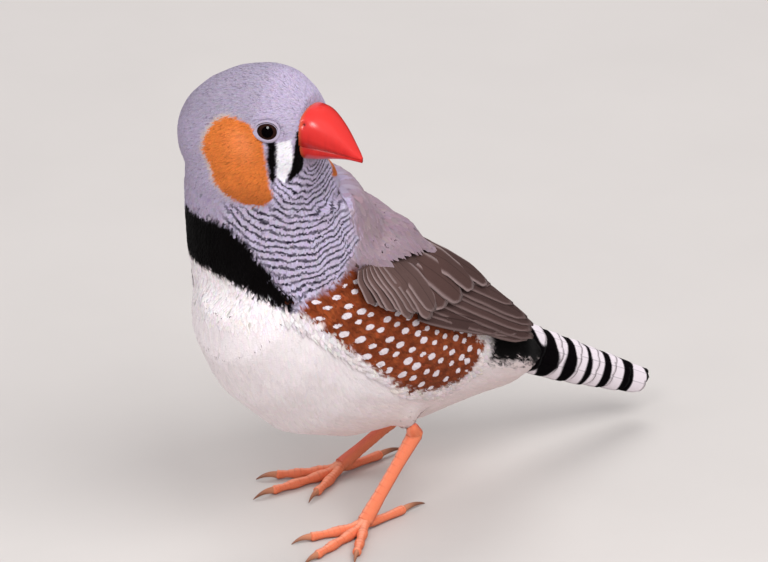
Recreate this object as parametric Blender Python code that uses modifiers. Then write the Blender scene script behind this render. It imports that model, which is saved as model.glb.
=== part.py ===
"""A male zebra finch, life size, standing on a floor with its head turned to its left.

Blender 4.5, metres, +Z up. The bird faces -Y, its left side is +X and its soles are at Z = 0.
Every named part is one closed solid. The solids meet with a gap of 0.3 mm.
"""

import math
import random

import bmesh
import bpy
from mathutils import Matrix, Vector
from mathutils.bvhtree import BVHTree

MM = 0.001
GAP = 0.3 * MM


def mm(x, y, z):
    """A point or a vector given in millimetres."""
    return Vector((x, y, z)) * MM


# Driving sizes of the bird
EYE_RADIUS = 2.0 * MM
SHANK_THICKNESS = 2.1 * MM
TOE_THICKNESS = 1.5 * MM
VANE_THICKNESS = 0.5 * MM

# Stance
HEAD_CENTRE = mm(1.8, -19.5, 62.6)
HEAD_TURN = math.radians(107)
SIDE_BEND = 0.0023 / MM
BEND_CENTRE_Y = 10 * MM
FOOT_LEFT = mm(9.0, -4.0, 0)
FOOT_RIGHT = mm(-8.3, 6.8, 0)
ANKLE_LEFT = mm(8.5, 6.0, 11.9)
ANKLE_RIGHT = mm(-8.3, 19.0, 6.4)
TOE_TURN_LEFT = math.radians(14)
TOE_TURN_RIGHT = math.radians(5)

# Torso sections, front to rear: centre y, centre z, half width, height above and depth below the centre
TORSO_SECTIONS = (
    (-22.8, 42.5, 6.0, 6.5, 7.0),
    (-20.0, 40.0, 10.5, 10.5, 12.0),
    (-14.5, 36.5, 13.7, 13.5, 16.0),
    (-6.0, 32.5, 15.2, 15.2, 19.0),
    (4.0, 28.3, 15.2, 14.0, 18.3),
    (14.0, 24.0, 13.4, 11.0, 14.6),
    (24.0, 20.0, 10.2, 7.2, 9.8),
    (32.0, 16.5, 6.8, 4.0, 6.4),
    (39.0, 13.6, 4.6, 2.4, 4.2),
    (45.0, 11.0, 2.8, 1.0, 2.4),
)
# Neck sections, bottom to top: centre x, y and z, half width and half depth
NECK_SECTIONS = (
    (0.3, -11.2, 37.0, 13.2, 13.2),
    (0.6, -12.7, 43.0, 13.4, 13.2),
    (1.5, -15.8, 50.5, 12.2, 11.6),
    (2.9, -18.0, 57.0, 11.1, 10.2),
    (2.2, -19.6, 62.6, 8.6, 7.6),
)
# Head sections, nape to bill: forward, half width, top, bottom
HEAD_SECTIONS = (
    (-9.3, 2.8, 2.4, -3.2),
    (-8.1, 5.6, 4.8, -6.2),
    (-5.6, 7.7, 7.1, -8.3),
    (-1.9, 8.8, 9.2, -9.4),
    (1.9, 8.7, 10.3, -9.4),
    (4.7, 8.1, 10.7, -8.9),
    (7.1, 7.4, 10.3, -8.1),
    (9.2, 6.3, 9.0, -6.6),
    (10.9, 4.7, 7.3, -4.8),
    (12.4, 3.5, 5.6, -3.4),
)
HEAD_FACE = 10.9
# The bill in the head's frame: forward, heights of culmen, cutting edge and lower edge, half width, and
# how full the upper half's section is, from 1 for an ellipse down to boxy
BILL_SECTIONS = (
    (11.2, 5.9, 1.0, -1.8, 3.75, 0.50),
    (12.6, 5.65, 0.85, -1.6, 3.45, 0.52),
    (14.2, 4.65, 0.6, -1.25, 2.85, 0.58),
    (15.8, 3.1, 0.25, -1.0, 2.15, 0.66),
    (17.2, 1.4, -0.2, -0.95, 1.35, 0.74),
    (18.2, 0.15, -0.55, -1.1, 0.7, 0.74),
    (18.7, -0.45, -0.7, -1.2, 0.26, 0.74),
)
LOWER_FULLNESS = 0.8
LOWER_WIDTH_SHARE = 0.93
BILL_ARC_STEPS = 8
NOSTRIL = (11.5, 2.85, 3.9)
NOSTRIL_RADIUS = 0.5
EYE_PLACE = (7.6, 3.4)
EYE_FORWARD_TURN = math.radians(24)
EYE_UP_TURN = math.radians(10)
EYE_SINK = 1.55
LID_RADIUS = 1.8 * MM
LID_THICKNESS = 0.7 * MM
LID_FORWARD = 1.45 * MM
LID_SEGMENTS = 16
LID_SECTION = 6

# Body: facets, blending of the forms, and the cuts that part it
BODY_SIDES = 24
BLEND_VOXEL = 0.75 * MM
BODY_TRIANGLES = 2900
NECK_TOP_PLANE = (mm(1.0, -18.7, 54.0), Vector((0.06, 0.10, 1)).normalized())
NECK_BASE_PLANE = (mm(0.5, -13.0, 43.2), Vector((0.05, -0.42, 1)).normalized())
TAIL_CUT_AXIS = Vector((0.12, 0.87, -0.47)).normalized()
BODY_CUTS = (
    ("head", NECK_TOP_PLANE),
    ("neck", NECK_BASE_PLANE),
    ("tail", (mm(1.6, 37.0, 14.0), TAIL_CUT_AXIS)),
)

# Wings; a place on the body is its distance along in millimetres and its angle round it in degrees
WING_VANE_STEPS = 4
VANE_OUTLINE = (0.6, 0.95, 1.0, 0.94, 0.45)
SHINGLE = 0.4 * MM
WING_CORE_ROWS = 10
WING_CORE_COLUMNS = 5
WING_CORE_Y = (-12.0, 19.0)
WING_CORE_LOW = (26, 11, 7, 5, 4, 2)
WING_CORE_HIGH = (34, 52, 64, 72, 77, 78)
WING_CORE_THICK = (0.8, 2.2, 2.5, 2.0, 1.5, 1.0)
WING_CORE_EDGE = 0.45
WING_CORE_SINK = 0.5 * MM
ROOT_SINK = 0.45
TIP_WANDER = (0.4, 0.6)
WIDTH_WANDER = 0.04
# Flight feathers, greater coverts, median coverts: count, first and last root, three tips, widths and lift
WING_TIERS = (
    (10, (0, 8), (1, 62), ((23.5, 7), (29.5, 40), (15.0, 80)), (3.8, 6.2), 1.0),
    (7, (-7, 11), (-4, 62), ((3.5, 6), (8.0, 30), (6.0, 72)), (4.0, 5.2), 1.7),
    (6, (-9.5, 19), (-7, 60), ((-3.5, 9), (0.0, 32), (-0.5, 66)), (3.4, 4.6), 2.3),
)

# Tail
TAIL_ROOT = mm(1.95, 37.0, 14.2)
TAIL_TIP = mm(4.3, 56.0, 5.4)
RECTRIX_STEPS = 4
RECTRIX_OUTLINE = (0.7, 0.9, 1.0, 0.95, 0.5)
RECTRIX_WIDTH = 3.6 * MM
RECTRIX_PAIRS = 6
RECTRIX_ROOT_SPREAD = (0.45, 0.26)
RECTRIX_TIP_SPREAD = (0.9, 0.62)
RECTRIX_DROP = 0.33
RECTRIX_LEFT_LIFT = 0.12
RECTRIX_SHORTER = 0.45
RECTRIX_ROLL = 0.10
LENGTH_WANDER = 0.3
COVERT_ROOT_SPREAD = 0.9
COVERT_SHORTER = 0.05
COVERT_DROP = 0.45
COVERT_STEP = 0.05
COVERT_ROLL = 0.22
# Covert tiers: tip as a share of the tail, spread, count, lift and width in millimetres
TAIL_COVERTS = (
    (0.94, 1.5, 2, 0.75, 4.0),
    (0.70, 1.9, 2, 1.2, 4.2),
    (0.46, 2.4, 2, 1.65, 4.6),
    (0.58, 1.9, 2, -2.3, 4.4),
)

# Legs
KNEE_LEFT = mm(8.2, 2.0, 19.0)
KNEE_RIGHT = mm(-7.6, 13.5, 15.5)
TUBE_SIDES = 8
HEEL_RADIUS = 1.3 * MM
TOE_LENGTHS = {"inner": 8.6, "middle": 12.2, "outer": 9.4, "hind": 8.2}
TOE_ANGLES = {"inner": -30, "middle": 0, "outer": 27, "hind": 172}
TOE_JOINTS = {"inner": 2, "middle": 3, "outer": 3, "hind": 1}
CLAW_LENGTHS = {"inner": 2.6, "middle": 3.0, "outer": 2.6, "hind": 4.2}
SHANK_SHARES = {"left": 0.86, "right": 0.68}
SHANK_STOPS = (0, 0.12, 0.35, 0.7, 1)
SHANK_RADII = (1.05, 1.0, 0.86, 0.88, 1.0)
SHANK_FLATTEN = 0.85
SOLE_TOP = 1.5 * MM
STUB_LENGTH = 0.6 * MM
STUB_RADII = (0.95, 1.05, 1.1)
STUB_FLATTEN = 0.9
TOE_HEIGHT = 0.70 * MM
TOE_STEPS = 9
TOE_ARCH = 0.8 * MM
TOE_ARCH_FADE = 1.6 * MM
TOE_SWELL = 0.13
TOE_TAPER = 0.22
PAD_HEIGHT = 1.25 * MM
PAD_RADIUS = 1.35 * MM
CLAW_STEPS = 5
# Height of a claw's line at a share t of its length: first, second and third are for t, t(1 - t) and t squared
CLAW_CURVE = (-0.12, 0.9, -0.42)
CLAW_RADIUS = 0.52
CLAW_TIP_RADIUS = 0.05
CLAW_TAPER = 0.8
THIGH_SIDES = 14
THIGH_STOPS = (0, 0.45, 0.8, 1)
THIGH_RADII = (4.6, 3.7, 2.2, 1.3)

# Colours as linear values with roughness, by the start of the node's name
FINISHES = (
    ("torso", (0.74, 0.64, 0.66), 0.8),
    ("neck", (0.25, 0.22, 0.33), 0.8),
    ("head", (0.36, 0.32, 0.42), 0.8),
    ("wing", (0.15, 0.10, 0.09), 0.7),
    ("tail", (0.012, 0.01, 0.012), 0.6),
    ("thigh", (0.70, 0.60, 0.60), 0.8),
    ("bill", (0.72, 0.06, 0.04), 0.3),
    ("eye", (0.01, 0.005, 0.004), 0.05),
    ("shank", (0.85, 0.26, 0.10), 0.45),
    ("foot", (0.85, 0.26, 0.10), 0.45),
    ("claw", (0.45, 0.25, 0.18), 0.4),
)


def clear_scene():
    for obj in list(bpy.data.objects):
        bpy.data.objects.remove(obj, do_unlink=True)


def collection(name, rendered=True):
    made = bpy.data.collections.new(name)
    bpy.context.scene.collection.children.link(made)
    made.hide_render = not rendered
    return made


def mesh_object(name, bm, home):
    """Turns a bmesh into an object of the collection home, with its faces pointing out."""
    bmesh.ops.recalc_face_normals(bm, faces=bm.faces)
    mesh = bpy.data.meshes.new(name)
    bm.to_mesh(mesh)
    bm.free()
    obj = bpy.data.objects.new(name, mesh)
    home.objects.link(obj)
    return obj


def loft(name, rings, home):
    """A closed mesh through rings of points, with a flat cap on each end."""
    bm = bmesh.new()
    levels = [[bm.verts.new(point) for point in ring] for ring in rings]
    for lower, upper in zip(levels, levels[1:]):
        for a in range(len(lower)):
            b = (a + 1) % len(lower)
            bm.faces.new((lower[a], lower[b], upper[b], upper[a]))
    bm.faces.new(levels[0][::-1])
    bm.faces.new(levels[-1])
    bmesh.ops.triangulate(bm, faces=bm.faces)
    return mesh_object(name, bm, home)


def oval(centre, side, up, half_width, above, below, count):
    """A ring whose upper and lower halves have their own heights."""
    ring = []
    for step in range(count):
        angle = math.tau * step / count
        height = above if math.sin(angle) > 0 else below
        ring.append(centre + side * (half_width * math.cos(angle)) + up * (height * math.sin(angle)))
    return ring


def apply_modifiers(obj):
    """Keeps the mesh that the object's modifiers make, and drops the modifiers."""
    bpy.context.view_layer.update()
    graph = bpy.context.evaluated_depsgraph_get()
    made = bpy.data.meshes.new_from_object(obj.evaluated_get(graph))
    obj.modifiers.clear()
    obj.data = made


def keep_largest(obj):
    """Drops every closed surface of the mesh but the largest."""
    bm = bmesh.new()
    bm.from_mesh(obj.data)
    unseen = set(bm.faces)
    shells = []
    while unseen:
        shell = {unseen.pop()}
        edge_of = list(shell)
        while edge_of:
            face = edge_of.pop()
            for edge in face.edges:
                for other in edge.link_faces:
                    if other in unseen:
                        unseen.remove(other)
                        shell.add(other)
                        edge_of.append(other)
        shells.append(shell)
    shells.sort(key=lambda shell: sum(face.calc_area() for face in shell))
    loose = [face for shell in shells[:-1] for face in shell]
    bmesh.ops.delete(bm, geom=loose, context="FACES")
    bm.to_mesh(obj.data)
    bm.free()


def fuse(body, pieces):
    """Unites body with the objects of the collection pieces, and removes those."""
    union = body.modifiers.new("Fuse", "BOOLEAN")
    union.operation = "UNION"
    union.solver = "EXACT"
    union.operand_type = "COLLECTION"
    union.collection = pieces
    apply_modifiers(body)
    for piece in list(pieces.objects):
        bpy.data.objects.remove(piece, do_unlink=True)
    keep_largest(body)


def swollen_copy(obj, distance, cutters):
    """A cutter: the object with its surface moved out by distance."""
    copy = bpy.data.objects.new(obj.name + "_swollen", obj.data.copy())
    cutters.objects.link(copy)
    copy.hide_render = True
    copy.display_type = "WIRE"
    bm = bmesh.new()
    bm.from_mesh(copy.data)
    bm.normal_update()
    moves = [(vert, vert.normal * (distance * vert.calc_shell_factor())) for vert in bm.verts]
    for vert, move in moves:
        vert.co += move
    bm.to_mesh(copy.data)
    bm.free()
    return copy


def cut_clear(obj, neighbours, cutters, gap=GAP):
    """Cuts obj back so that it keeps the gap to each neighbour."""
    made = []
    for neighbour in neighbours:
        cutter = swollen_copy(neighbour, gap, cutters)
        cut = obj.modifiers.new("Clear", "BOOLEAN")
        cut.operation = "DIFFERENCE"
        cut.solver = "EXACT"
        cut.object = cutter
        made.append(cutter)
    apply_modifiers(obj)
    for cutter in made:
        bpy.data.objects.remove(cutter, do_unlink=True)
    keep_largest(obj)


def half_of(source, name, point, normal, home):
    """The part of source on the side of a plane that normal points to, closed along the plane."""
    bm = bmesh.new()
    bm.from_mesh(source.data)
    geometry = bm.verts[:] + bm.edges[:] + bm.faces[:]
    cut = bmesh.ops.bisect_plane(
        bm, geom=geometry, plane_co=point, plane_no=normal, clear_inner=True
    )
    rim = [item for item in cut["geom_cut"] if isinstance(item, bmesh.types.BMEdge)]
    bmesh.ops.holes_fill(bm, edges=rim, sides=0)
    bmesh.ops.triangulate(bm, faces=[face for face in bm.faces if len(face.verts) > 3])
    return mesh_object(name, bm, home)


def bend_sideways(obj):
    """Bends the body to its left, as the turned bird holds it."""
    for vert in obj.data.vertices:
        vert.co.x += SIDE_BEND * (vert.co.y - BEND_CENTRE_Y) ** 2


def head_frame():
    """Matrix of the head: its X is forward, its Y is to the bird's left and its Z is up."""
    forward = Vector((math.sin(HEAD_TURN), -math.cos(HEAD_TURN), 0))
    left = Vector((0, 0, 1)).cross(forward)
    turn = Matrix((forward, left, Vector((0, 0, 1)))).transposed().to_4x4()
    return Matrix.Translation(HEAD_CENTRE) @ turn


HEAD = head_frame()


def on_head(forward, left, up):
    """A point given in millimetres in the head's own frame."""
    return HEAD @ mm(forward, left, up)


# Body: torso, neck and head


def torso_rings():
    centres = [mm(0, y, z) for y, z, _, _, _ in TORSO_SECTIONS]
    rings = []
    for index, (_, _, half_width, above, below) in enumerate(TORSO_SECTIONS):
        before = centres[max(index - 1, 0)]
        after = centres[min(index + 1, len(centres) - 1)]
        axis = (after - before).normalized()
        side = Vector((1, 0, 0))
        up = side.cross(axis).normalized()
        ring = oval(centres[index], side, up, half_width * MM, above * MM, below * MM, BODY_SIDES)
        rings.append(ring)
    return rings


def neck_rings():
    rings = []
    for x, y, z, half_width, half_depth in NECK_SECTIONS:
        ring = oval(
            mm(x, y, z), Vector((1, 0, 0)), Vector((0, 1, 0)),
            half_width * MM, half_depth * MM, half_depth * MM, BODY_SIDES,
        )
        rings.append(ring)
    return rings


def head_rings():
    turn = HEAD.to_3x3()
    side = turn @ Vector((0, 1, 0))
    up = turn @ Vector((0, 0, 1))
    rings = []
    for forward, half_width, top, bottom in HEAD_SECTIONS:
        centre = on_head(forward, 0, 0)
        ring = oval(centre, side, up, half_width * MM, top * MM, -bottom * MM, BODY_SIDES)
        rings.append(ring)
    return rings


def make_body(cutters):
    """Torso, neck and head as one smooth form, before it is parted."""
    body = loft("body", torso_rings(), cutters)
    bend_sideways(body)
    extra = collection("body_forms", rendered=False)
    loft("neck_form", neck_rings(), extra)
    loft("head_form", head_rings(), extra)
    fuse(body, extra)
    bpy.data.collections.remove(extra)
    blend = body.modifiers.new("Blend", "REMESH")
    blend.mode = "VOXEL"
    blend.voxel_size = BLEND_VOXEL
    smooth = body.modifiers.new("Smooth", "LAPLACIANSMOOTH")
    smooth.iterations = 12
    smooth.lambda_factor = 0.6
    smooth.lambda_border = 0
    smooth.use_volume_preserve = True
    apply_modifiers(body)
    return body


def thin_out(obj, triangles):
    """Reduces the mesh to about this many triangles."""
    obj.data.calc_loop_triangles()
    reduce = obj.modifiers.new("Reduce", "DECIMATE")
    reduce.ratio = triangles / len(obj.data.loop_triangles)
    reduce.use_collapse_triangulate = True
    apply_modifiers(obj)


def part_body(body, home):
    """Parts the body with thin cuts, and flattens the face that carries the bill."""
    parts = {}
    rest = body
    for name, (point, normal) in BODY_CUTS:
        parts[name] = half_of(rest, name, point + normal * (GAP / 2), normal, home)
        below = half_of(rest, "below_" + name, point - normal * (GAP / 2), -normal, home)
        if rest is not body:
            bpy.data.objects.remove(rest, do_unlink=True)
        rest = below
    rest.name = "torso"
    parts["torso"] = rest
    turn = HEAD.to_3x3()
    forward = turn @ Vector((1, 0, 0))
    blunt = half_of(parts["head"], "blunt_head", on_head(HEAD_FACE, 0, 0), -forward, home)
    bpy.data.objects.remove(parts["head"], do_unlink=True)
    blunt.name = "head"
    parts["head"] = blunt
    for obj in parts.values():
        keep_largest(obj)
    return parts


# Surface of the body, which the wings and their feathers follow

class BodySurface:
    """Finds points on the body by distance along it and angle round it."""

    def __init__(self, body):
        graph = bpy.context.evaluated_depsgraph_get()
        self.tree = BVHTree.FromObject(body, graph)

    def axis_point(self, y):
        """The point of the body's own axis at y, both in metres."""
        rows = [(row[0] * MM, row[1] * MM) for row in TORSO_SECTIONS]
        for (y0, z0), (y1, z1) in zip(rows, rows[1:]):
            if y <= y1:
                z = z0 + (z1 - z0) * (y - y0) / (y1 - y0)
                return Vector((SIDE_BEND * (y - BEND_CENTRE_Y) ** 2, y, z))
        y0, z0 = rows[-1]
        return Vector((SIDE_BEND * (y - BEND_CENTRE_Y) ** 2, y, z0))

    def point(self, y_mm, degrees, side):
        """Where a ray from the axis leaves the body, with the surface's normal."""
        angle = math.radians(degrees)
        origin = self.axis_point(y_mm * MM)
        ray = Vector((side * math.cos(angle), 0, math.sin(angle)))
        hit, normal, _, _ = self.tree.ray_cast(origin + ray * (40 * MM), -ray)
        return hit, normal

    def settle(self, point, lift):
        """The point moved straight towards or away from the body until it stands lift above it."""
        near, normal, _, _ = self.tree.find_nearest(point)
        away = point - near
        if away.length > 0.2 * MM and away.dot(normal) > 0:
            normal = away.normalized()
        return near + normal * lift


def slab(name, rows, home):
    """A closed solid from rows of (outer point, inner point) pairs, split alike on both faces."""
    bm = bmesh.new()
    outer = [[bm.verts.new(pair[0]) for pair in row] for row in rows]
    inner = [[bm.verts.new(pair[1]) for pair in row] for row in rows]
    last = len(rows) - 1
    end = len(rows[0]) - 1
    for r in range(last):
        for c in range(end):
            for face in (outer, inner):
                bm.faces.new((face[r][c], face[r + 1][c], face[r + 1][c + 1]))
                bm.faces.new((face[r][c], face[r + 1][c + 1], face[r][c + 1]))
    rim = [(r, 0) for r in range(last)] + [(last, c) for c in range(end)]
    rim += [(r, end) for r in range(last, 0, -1)] + [(0, c) for c in range(end, 0, -1)]
    for (r0, c0), (r1, c1) in zip(rim, rim[1:] + rim[:1]):
        bm.faces.new((outer[r0][c0], outer[r1][c1], inner[r1][c1]))
        bm.faces.new((outer[r0][c0], inner[r1][c1], inner[r0][c0]))
    return mesh_object(name, bm, home)


# Wings


def read_curve(values, t):
    """Reads evenly spaced values at t from 0 to 1, in straight lines between them."""
    place = min(max(t, 0), 0.9999) * (len(values) - 1)
    index = int(place)
    part = place - index
    return values[index] * (1 - part) + values[index + 1] * part


def wing_core(surface, side, home):
    """The folded wing without its long feathers: a pad that lies on the body."""
    rows = []
    for r in range(WING_CORE_ROWS + 1):
        t = r / WING_CORE_ROWS
        y = WING_CORE_Y[0] + (WING_CORE_Y[1] - WING_CORE_Y[0]) * t
        low = read_curve(WING_CORE_LOW, t)
        high = read_curve(WING_CORE_HIGH, t)
        thick = read_curve(WING_CORE_THICK, t)
        row = []
        for c in range(WING_CORE_COLUMNS + 1):
            v = c / WING_CORE_COLUMNS
            hit, _ = surface.point(y, low + (high - low) * v, side)
            crown = WING_CORE_EDGE + (1 - WING_CORE_EDGE) * math.sin(math.pi * v)
            row.append((surface.settle(hit, thick * crown * MM), surface.settle(hit, -WING_CORE_SINK)))
        rows.append(row)
    return slab("core", rows, home)


def body_vane(surface, side, root, tip, width, lift, home):
    """A feather that lies along the body, its lower edge raised over the feather below it."""
    path = []
    for step in range(WING_VANE_STEPS + 1):
        t = step / WING_VANE_STEPS
        y = root[0] + (tip[0] - root[0]) * t
        angle = root[1] + (tip[1] - root[1]) * t
        path.append(surface.point(y, angle, side))
    rows = []
    for step, (centre, normal) in enumerate(path):
        height = lift * min(1, ROOT_SINK + (1 - ROOT_SINK) * 2 * step / WING_VANE_STEPS)
        before = path[max(step - 1, 0)][0]
        after = path[min(step + 1, WING_VANE_STEPS)][0]
        along = (after - before).normalized()
        across = along.cross(normal).normalized()
        if across.z < 0:
            across.negate()
        half = width * VANE_OUTLINE[step] / 2
        row = []
        for place, raised in ((-1, SHINGLE), (1, 0)):
            at = centre + across * (half * place)
            top = height + raised
            row.append((surface.settle(at, top), surface.settle(at, top - VANE_THICKNESS)))
        rows.append(row)
    return slab("vane", rows, home)


def three_point(values, t):
    """A smooth curve through three points at t = 0, 0.5 and 1."""
    first, middle, last = values
    return tuple(
        a * (1 - t) * (1 - 2 * t) + 4 * b * t * (1 - t) + c * t * (2 * t - 1)
        for a, b, c in zip(first, middle, last)
    )


def make_wing(surface, side, home, draw):
    name = "wing_left" if side > 0 else "wing_right"
    wing = wing_core(surface, side, home)
    wing.name = name
    vanes = collection("vanes", rendered=False)
    for count, first, last, tips, widths, lift in WING_TIERS:
        for index in range(count):
            t = index / (count - 1)
            root = tuple(a + (b - a) * t for a, b in zip(first, last))
            tip_y, tip_angle = three_point(tips, t)
            tip = (
                tip_y + draw.uniform(-TIP_WANDER[0], TIP_WANDER[0]),
                tip_angle + draw.uniform(-TIP_WANDER[1], TIP_WANDER[1]),
            )
            wander = draw.uniform(1 - WIDTH_WANDER, 1 + WIDTH_WANDER)
            width = (widths[0] + (widths[1] - widths[0]) * t) * wander * MM
            body_vane(surface, side, root, tip, width, lift * MM, vanes)
    fuse(wing, vanes)
    bpy.data.collections.remove(vanes)
    return wing


# Tail


def tail_axes():
    along = (TAIL_TIP - TAIL_ROOT).normalized()
    across = along.cross(Vector((0, 0, 1))).normalized()
    return along, across, across.cross(along)


def tail_vane(length, root_offset, tip_offset, lift, width, roll, home):
    """A straight feather of the tail, rolled about its own length."""
    along, across, up = tail_axes()
    rows = []
    for step in range(RECTRIX_STEPS + 1):
        t = step / RECTRIX_STEPS
        offset = root_offset + (tip_offset - root_offset) * t
        centre = TAIL_ROOT + along * (length * t) + across * offset + up * lift
        half = width * RECTRIX_OUTLINE[step] / 2
        row = []
        for place in (-1, 1):
            at = centre + across * (half * place) + up * (half * place * roll)
            row.append((at + up * (VANE_THICKNESS / 2), at - up * (VANE_THICKNESS / 2)))
        rows.append(row)
    return slab("vane", rows, home)


def make_tail(tail, draw):
    """Adds the twelve tail feathers and their coverts to the rear end of the body."""
    vanes = collection("vanes", rendered=False)
    full = (TAIL_TIP - TAIL_ROOT).length
    for side in (-1, 1):
        for rank in range(RECTRIX_PAIRS):
            length = full - (RECTRIX_SHORTER * rank + draw.uniform(0, LENGTH_WANDER)) * MM
            lift = (-RECTRIX_DROP * rank + (RECTRIX_LEFT_LIFT if side > 0 else 0)) * MM
            root_offset = side * (RECTRIX_ROOT_SPREAD[0] + RECTRIX_ROOT_SPREAD[1] * rank) * MM
            tip_offset = side * (RECTRIX_TIP_SPREAD[0] + RECTRIX_TIP_SPREAD[1] * rank) * MM
            tail_vane(length, root_offset, tip_offset, lift, RECTRIX_WIDTH, -side * RECTRIX_ROLL, vanes)
    for reach, spread, count, lift, width in TAIL_COVERTS:
        for index in range(count):
            place = 2 * index / (count - 1) - 1
            wander = draw.uniform(-LENGTH_WANDER, LENGTH_WANDER) * MM
            length = full * reach * (1 - COVERT_SHORTER * abs(place)) + wander
            above = 1 if lift > 0 else -1
            height = (lift - COVERT_DROP * abs(place) * above + COVERT_STEP * index) * MM
            roll = -place * COVERT_ROLL * above
            root_offset = place * COVERT_ROOT_SPREAD * MM
            tail_vane(length, root_offset, place * spread * MM, height, width * MM, roll, vanes)
    fuse(tail, vanes)
    bpy.data.collections.remove(vanes)


# Bill and eyes

def bill_half(name, upper, home):
    """One mandible: an arch over, or a trough under, the flat cutting faces."""
    rings = []
    for forward, culmen, edge, floor, half_width, fullness in BILL_SECTIONS:
        middle = edge + (GAP / 2 / MM if upper else -GAP / 2 / MM)
        height = culmen - middle if upper else floor - middle
        width = half_width if upper else half_width * LOWER_WIDTH_SHARE
        power = fullness if upper else LOWER_FULLNESS
        ring = []
        for step in range(BILL_ARC_STEPS + 1):
            angle = math.pi * step / BILL_ARC_STEPS
            across = math.cos(angle)
            rise = max(math.sin(angle), 0) ** power
            ring.append(on_head(forward, width * across, middle + height * rise))
        rings.append(ring)
    return loft(name, rings, home)


def ball(name, centre, radius, home, segments=14, rings=9):
    bm = bmesh.new()
    bmesh.ops.create_uvsphere(bm, u_segments=segments, v_segments=rings, radius=radius)
    bmesh.ops.translate(bm, verts=bm.verts, vec=centre)
    bmesh.ops.triangulate(bm, faces=bm.faces)
    return mesh_object(name, bm, home)


def cut_nostrils(bill):
    made = collection("nostrils", rendered=False)
    for side in (-1, 1):
        ball("nostril", on_head(NOSTRIL[0], side * NOSTRIL[1], NOSTRIL[2]), NOSTRIL_RADIUS * MM, made, 10, 6)
    cut = bill.modifiers.new("Nostrils", "BOOLEAN")
    cut.operation = "DIFFERENCE"
    cut.solver = "EXACT"
    cut.operand_type = "COLLECTION"
    cut.collection = made
    apply_modifiers(bill)
    for obj in list(made.objects):
        bpy.data.objects.remove(obj, do_unlink=True)
    bpy.data.collections.remove(made)
    keep_largest(bill)


def eye_axis(side):
    """The direction in which an eye looks."""
    outward = Vector((
        math.sin(EYE_FORWARD_TURN) * math.cos(EYE_UP_TURN),
        side * math.cos(EYE_FORWARD_TURN) * math.cos(EYE_UP_TURN),
        math.sin(EYE_UP_TURN),
    ))
    return (HEAD.to_3x3() @ outward).normalized()


def lid_ring(centre, axis, home):
    """The rim of the lids, as a thin ring in front of the eye."""
    turn = axis.to_track_quat("Z", "Y").to_matrix()
    bm = bmesh.new()
    rings = []
    for a in range(LID_SEGMENTS):
        angle = math.tau * a / LID_SEGMENTS
        out = turn @ Vector((math.cos(angle), math.sin(angle), 0))
        ring = []
        for b in range(LID_SECTION):
            turn_angle = math.tau * b / LID_SECTION
            radius = LID_RADIUS + LID_THICKNESS / 2 * math.cos(turn_angle)
            rise = LID_THICKNESS / 2 * math.sin(turn_angle)
            ring.append(bm.verts.new(centre + out * radius + axis * (LID_FORWARD + rise)))
        rings.append(ring)
    for a in range(LID_SEGMENTS):
        lower = rings[a]
        upper = rings[(a + 1) % LID_SEGMENTS]
        for b in range(LID_SECTION):
            c = (b + 1) % LID_SECTION
            bm.faces.new((lower[b], upper[b], upper[c], lower[c]))
    bmesh.ops.triangulate(bm, faces=bm.faces)
    return mesh_object("lid", bm, home)


def make_eyes(head, surface, home, cutters):
    """Both eyes, with the rims of their lids fused to the head and the head cut clear of the eyes."""
    eyes = []
    lids = collection("lids", rendered=False)
    turn = HEAD.to_3x3()
    for side, name in ((1, "eye_left"), (-1, "eye_right")):
        lateral = turn @ Vector((0, side, 0))
        start = on_head(EYE_PLACE[0], side * 20, EYE_PLACE[1])
        hit, _, _, _ = surface.tree.ray_cast(start, -lateral)
        axis = eye_axis(side)
        centre = hit - axis * (EYE_SINK * MM)
        eyes.append(ball(name, centre, EYE_RADIUS, home))
        lid_ring(centre, axis, lids)
    fuse(head, lids)
    bpy.data.collections.remove(lids)
    cut_clear(head, eyes, cutters)
    return eyes


# Legs


def tube(name, points, radii, home, sides=TUBE_SIDES, flatten=1.0):
    """A closed tube through the points, its cross sections square to the way it runs."""
    rings = []
    guide = None
    for index, point in enumerate(points):
        before = points[max(index - 1, 0)]
        after = points[min(index + 1, len(points) - 1)]
        along = (after - before).normalized()
        if guide is None:
            guide = Vector((1, 0, 0)) if abs(along.x) < 0.7 else Vector((0, 1, 0))
        side = (guide - along * guide.dot(along)).normalized()
        guide = side
        up = along.cross(side)
        ring = []
        for step in range(sides):
            angle = math.tau * step / sides
            radius = radii[index]
            ring.append(point + side * (radius * flatten * math.cos(angle)) + up * (radius * math.sin(angle)))
        rings.append(ring)
    return loft(name, rings, home)


def flatten_soles(obj):
    """Presses what would reach below the floor flat on it."""
    for vert in obj.data.vertices:
        vert.co.z = max(vert.co.z, 0)


def toe_points(base, heading, length, joints):
    points = []
    radii = []
    for step in range(TOE_STEPS + 1):
        t = step / TOE_STEPS
        distance = length * t
        arch = TOE_ARCH * math.exp(-distance / TOE_ARCH_FADE)
        swell = 1 + TOE_SWELL * math.cos(math.tau * joints * t)
        points.append(base + heading * distance + Vector((0, 0, TOE_HEIGHT + arch)))
        radii.append(TOE_THICKNESS / 2 * swell * (1 - TOE_TAPER * t))
    return points, radii


def claw_points(start, heading, length):
    """A claw's centre line: it rises a little and curves down to just above the floor."""
    points = []
    radii = []
    slope, bow, hook = CLAW_CURVE
    for step in range(CLAW_STEPS + 1):
        t = step / CLAW_STEPS
        height = slope * t + bow * t * (1 - t) + hook * t * t
        points.append(start + heading * (length * t) + Vector((0, 0, height * MM)))
        radii.append((CLAW_RADIUS * (1 - t) ** CLAW_TAPER + CLAW_TIP_RADIUS) * MM)
    return points, radii


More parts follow.
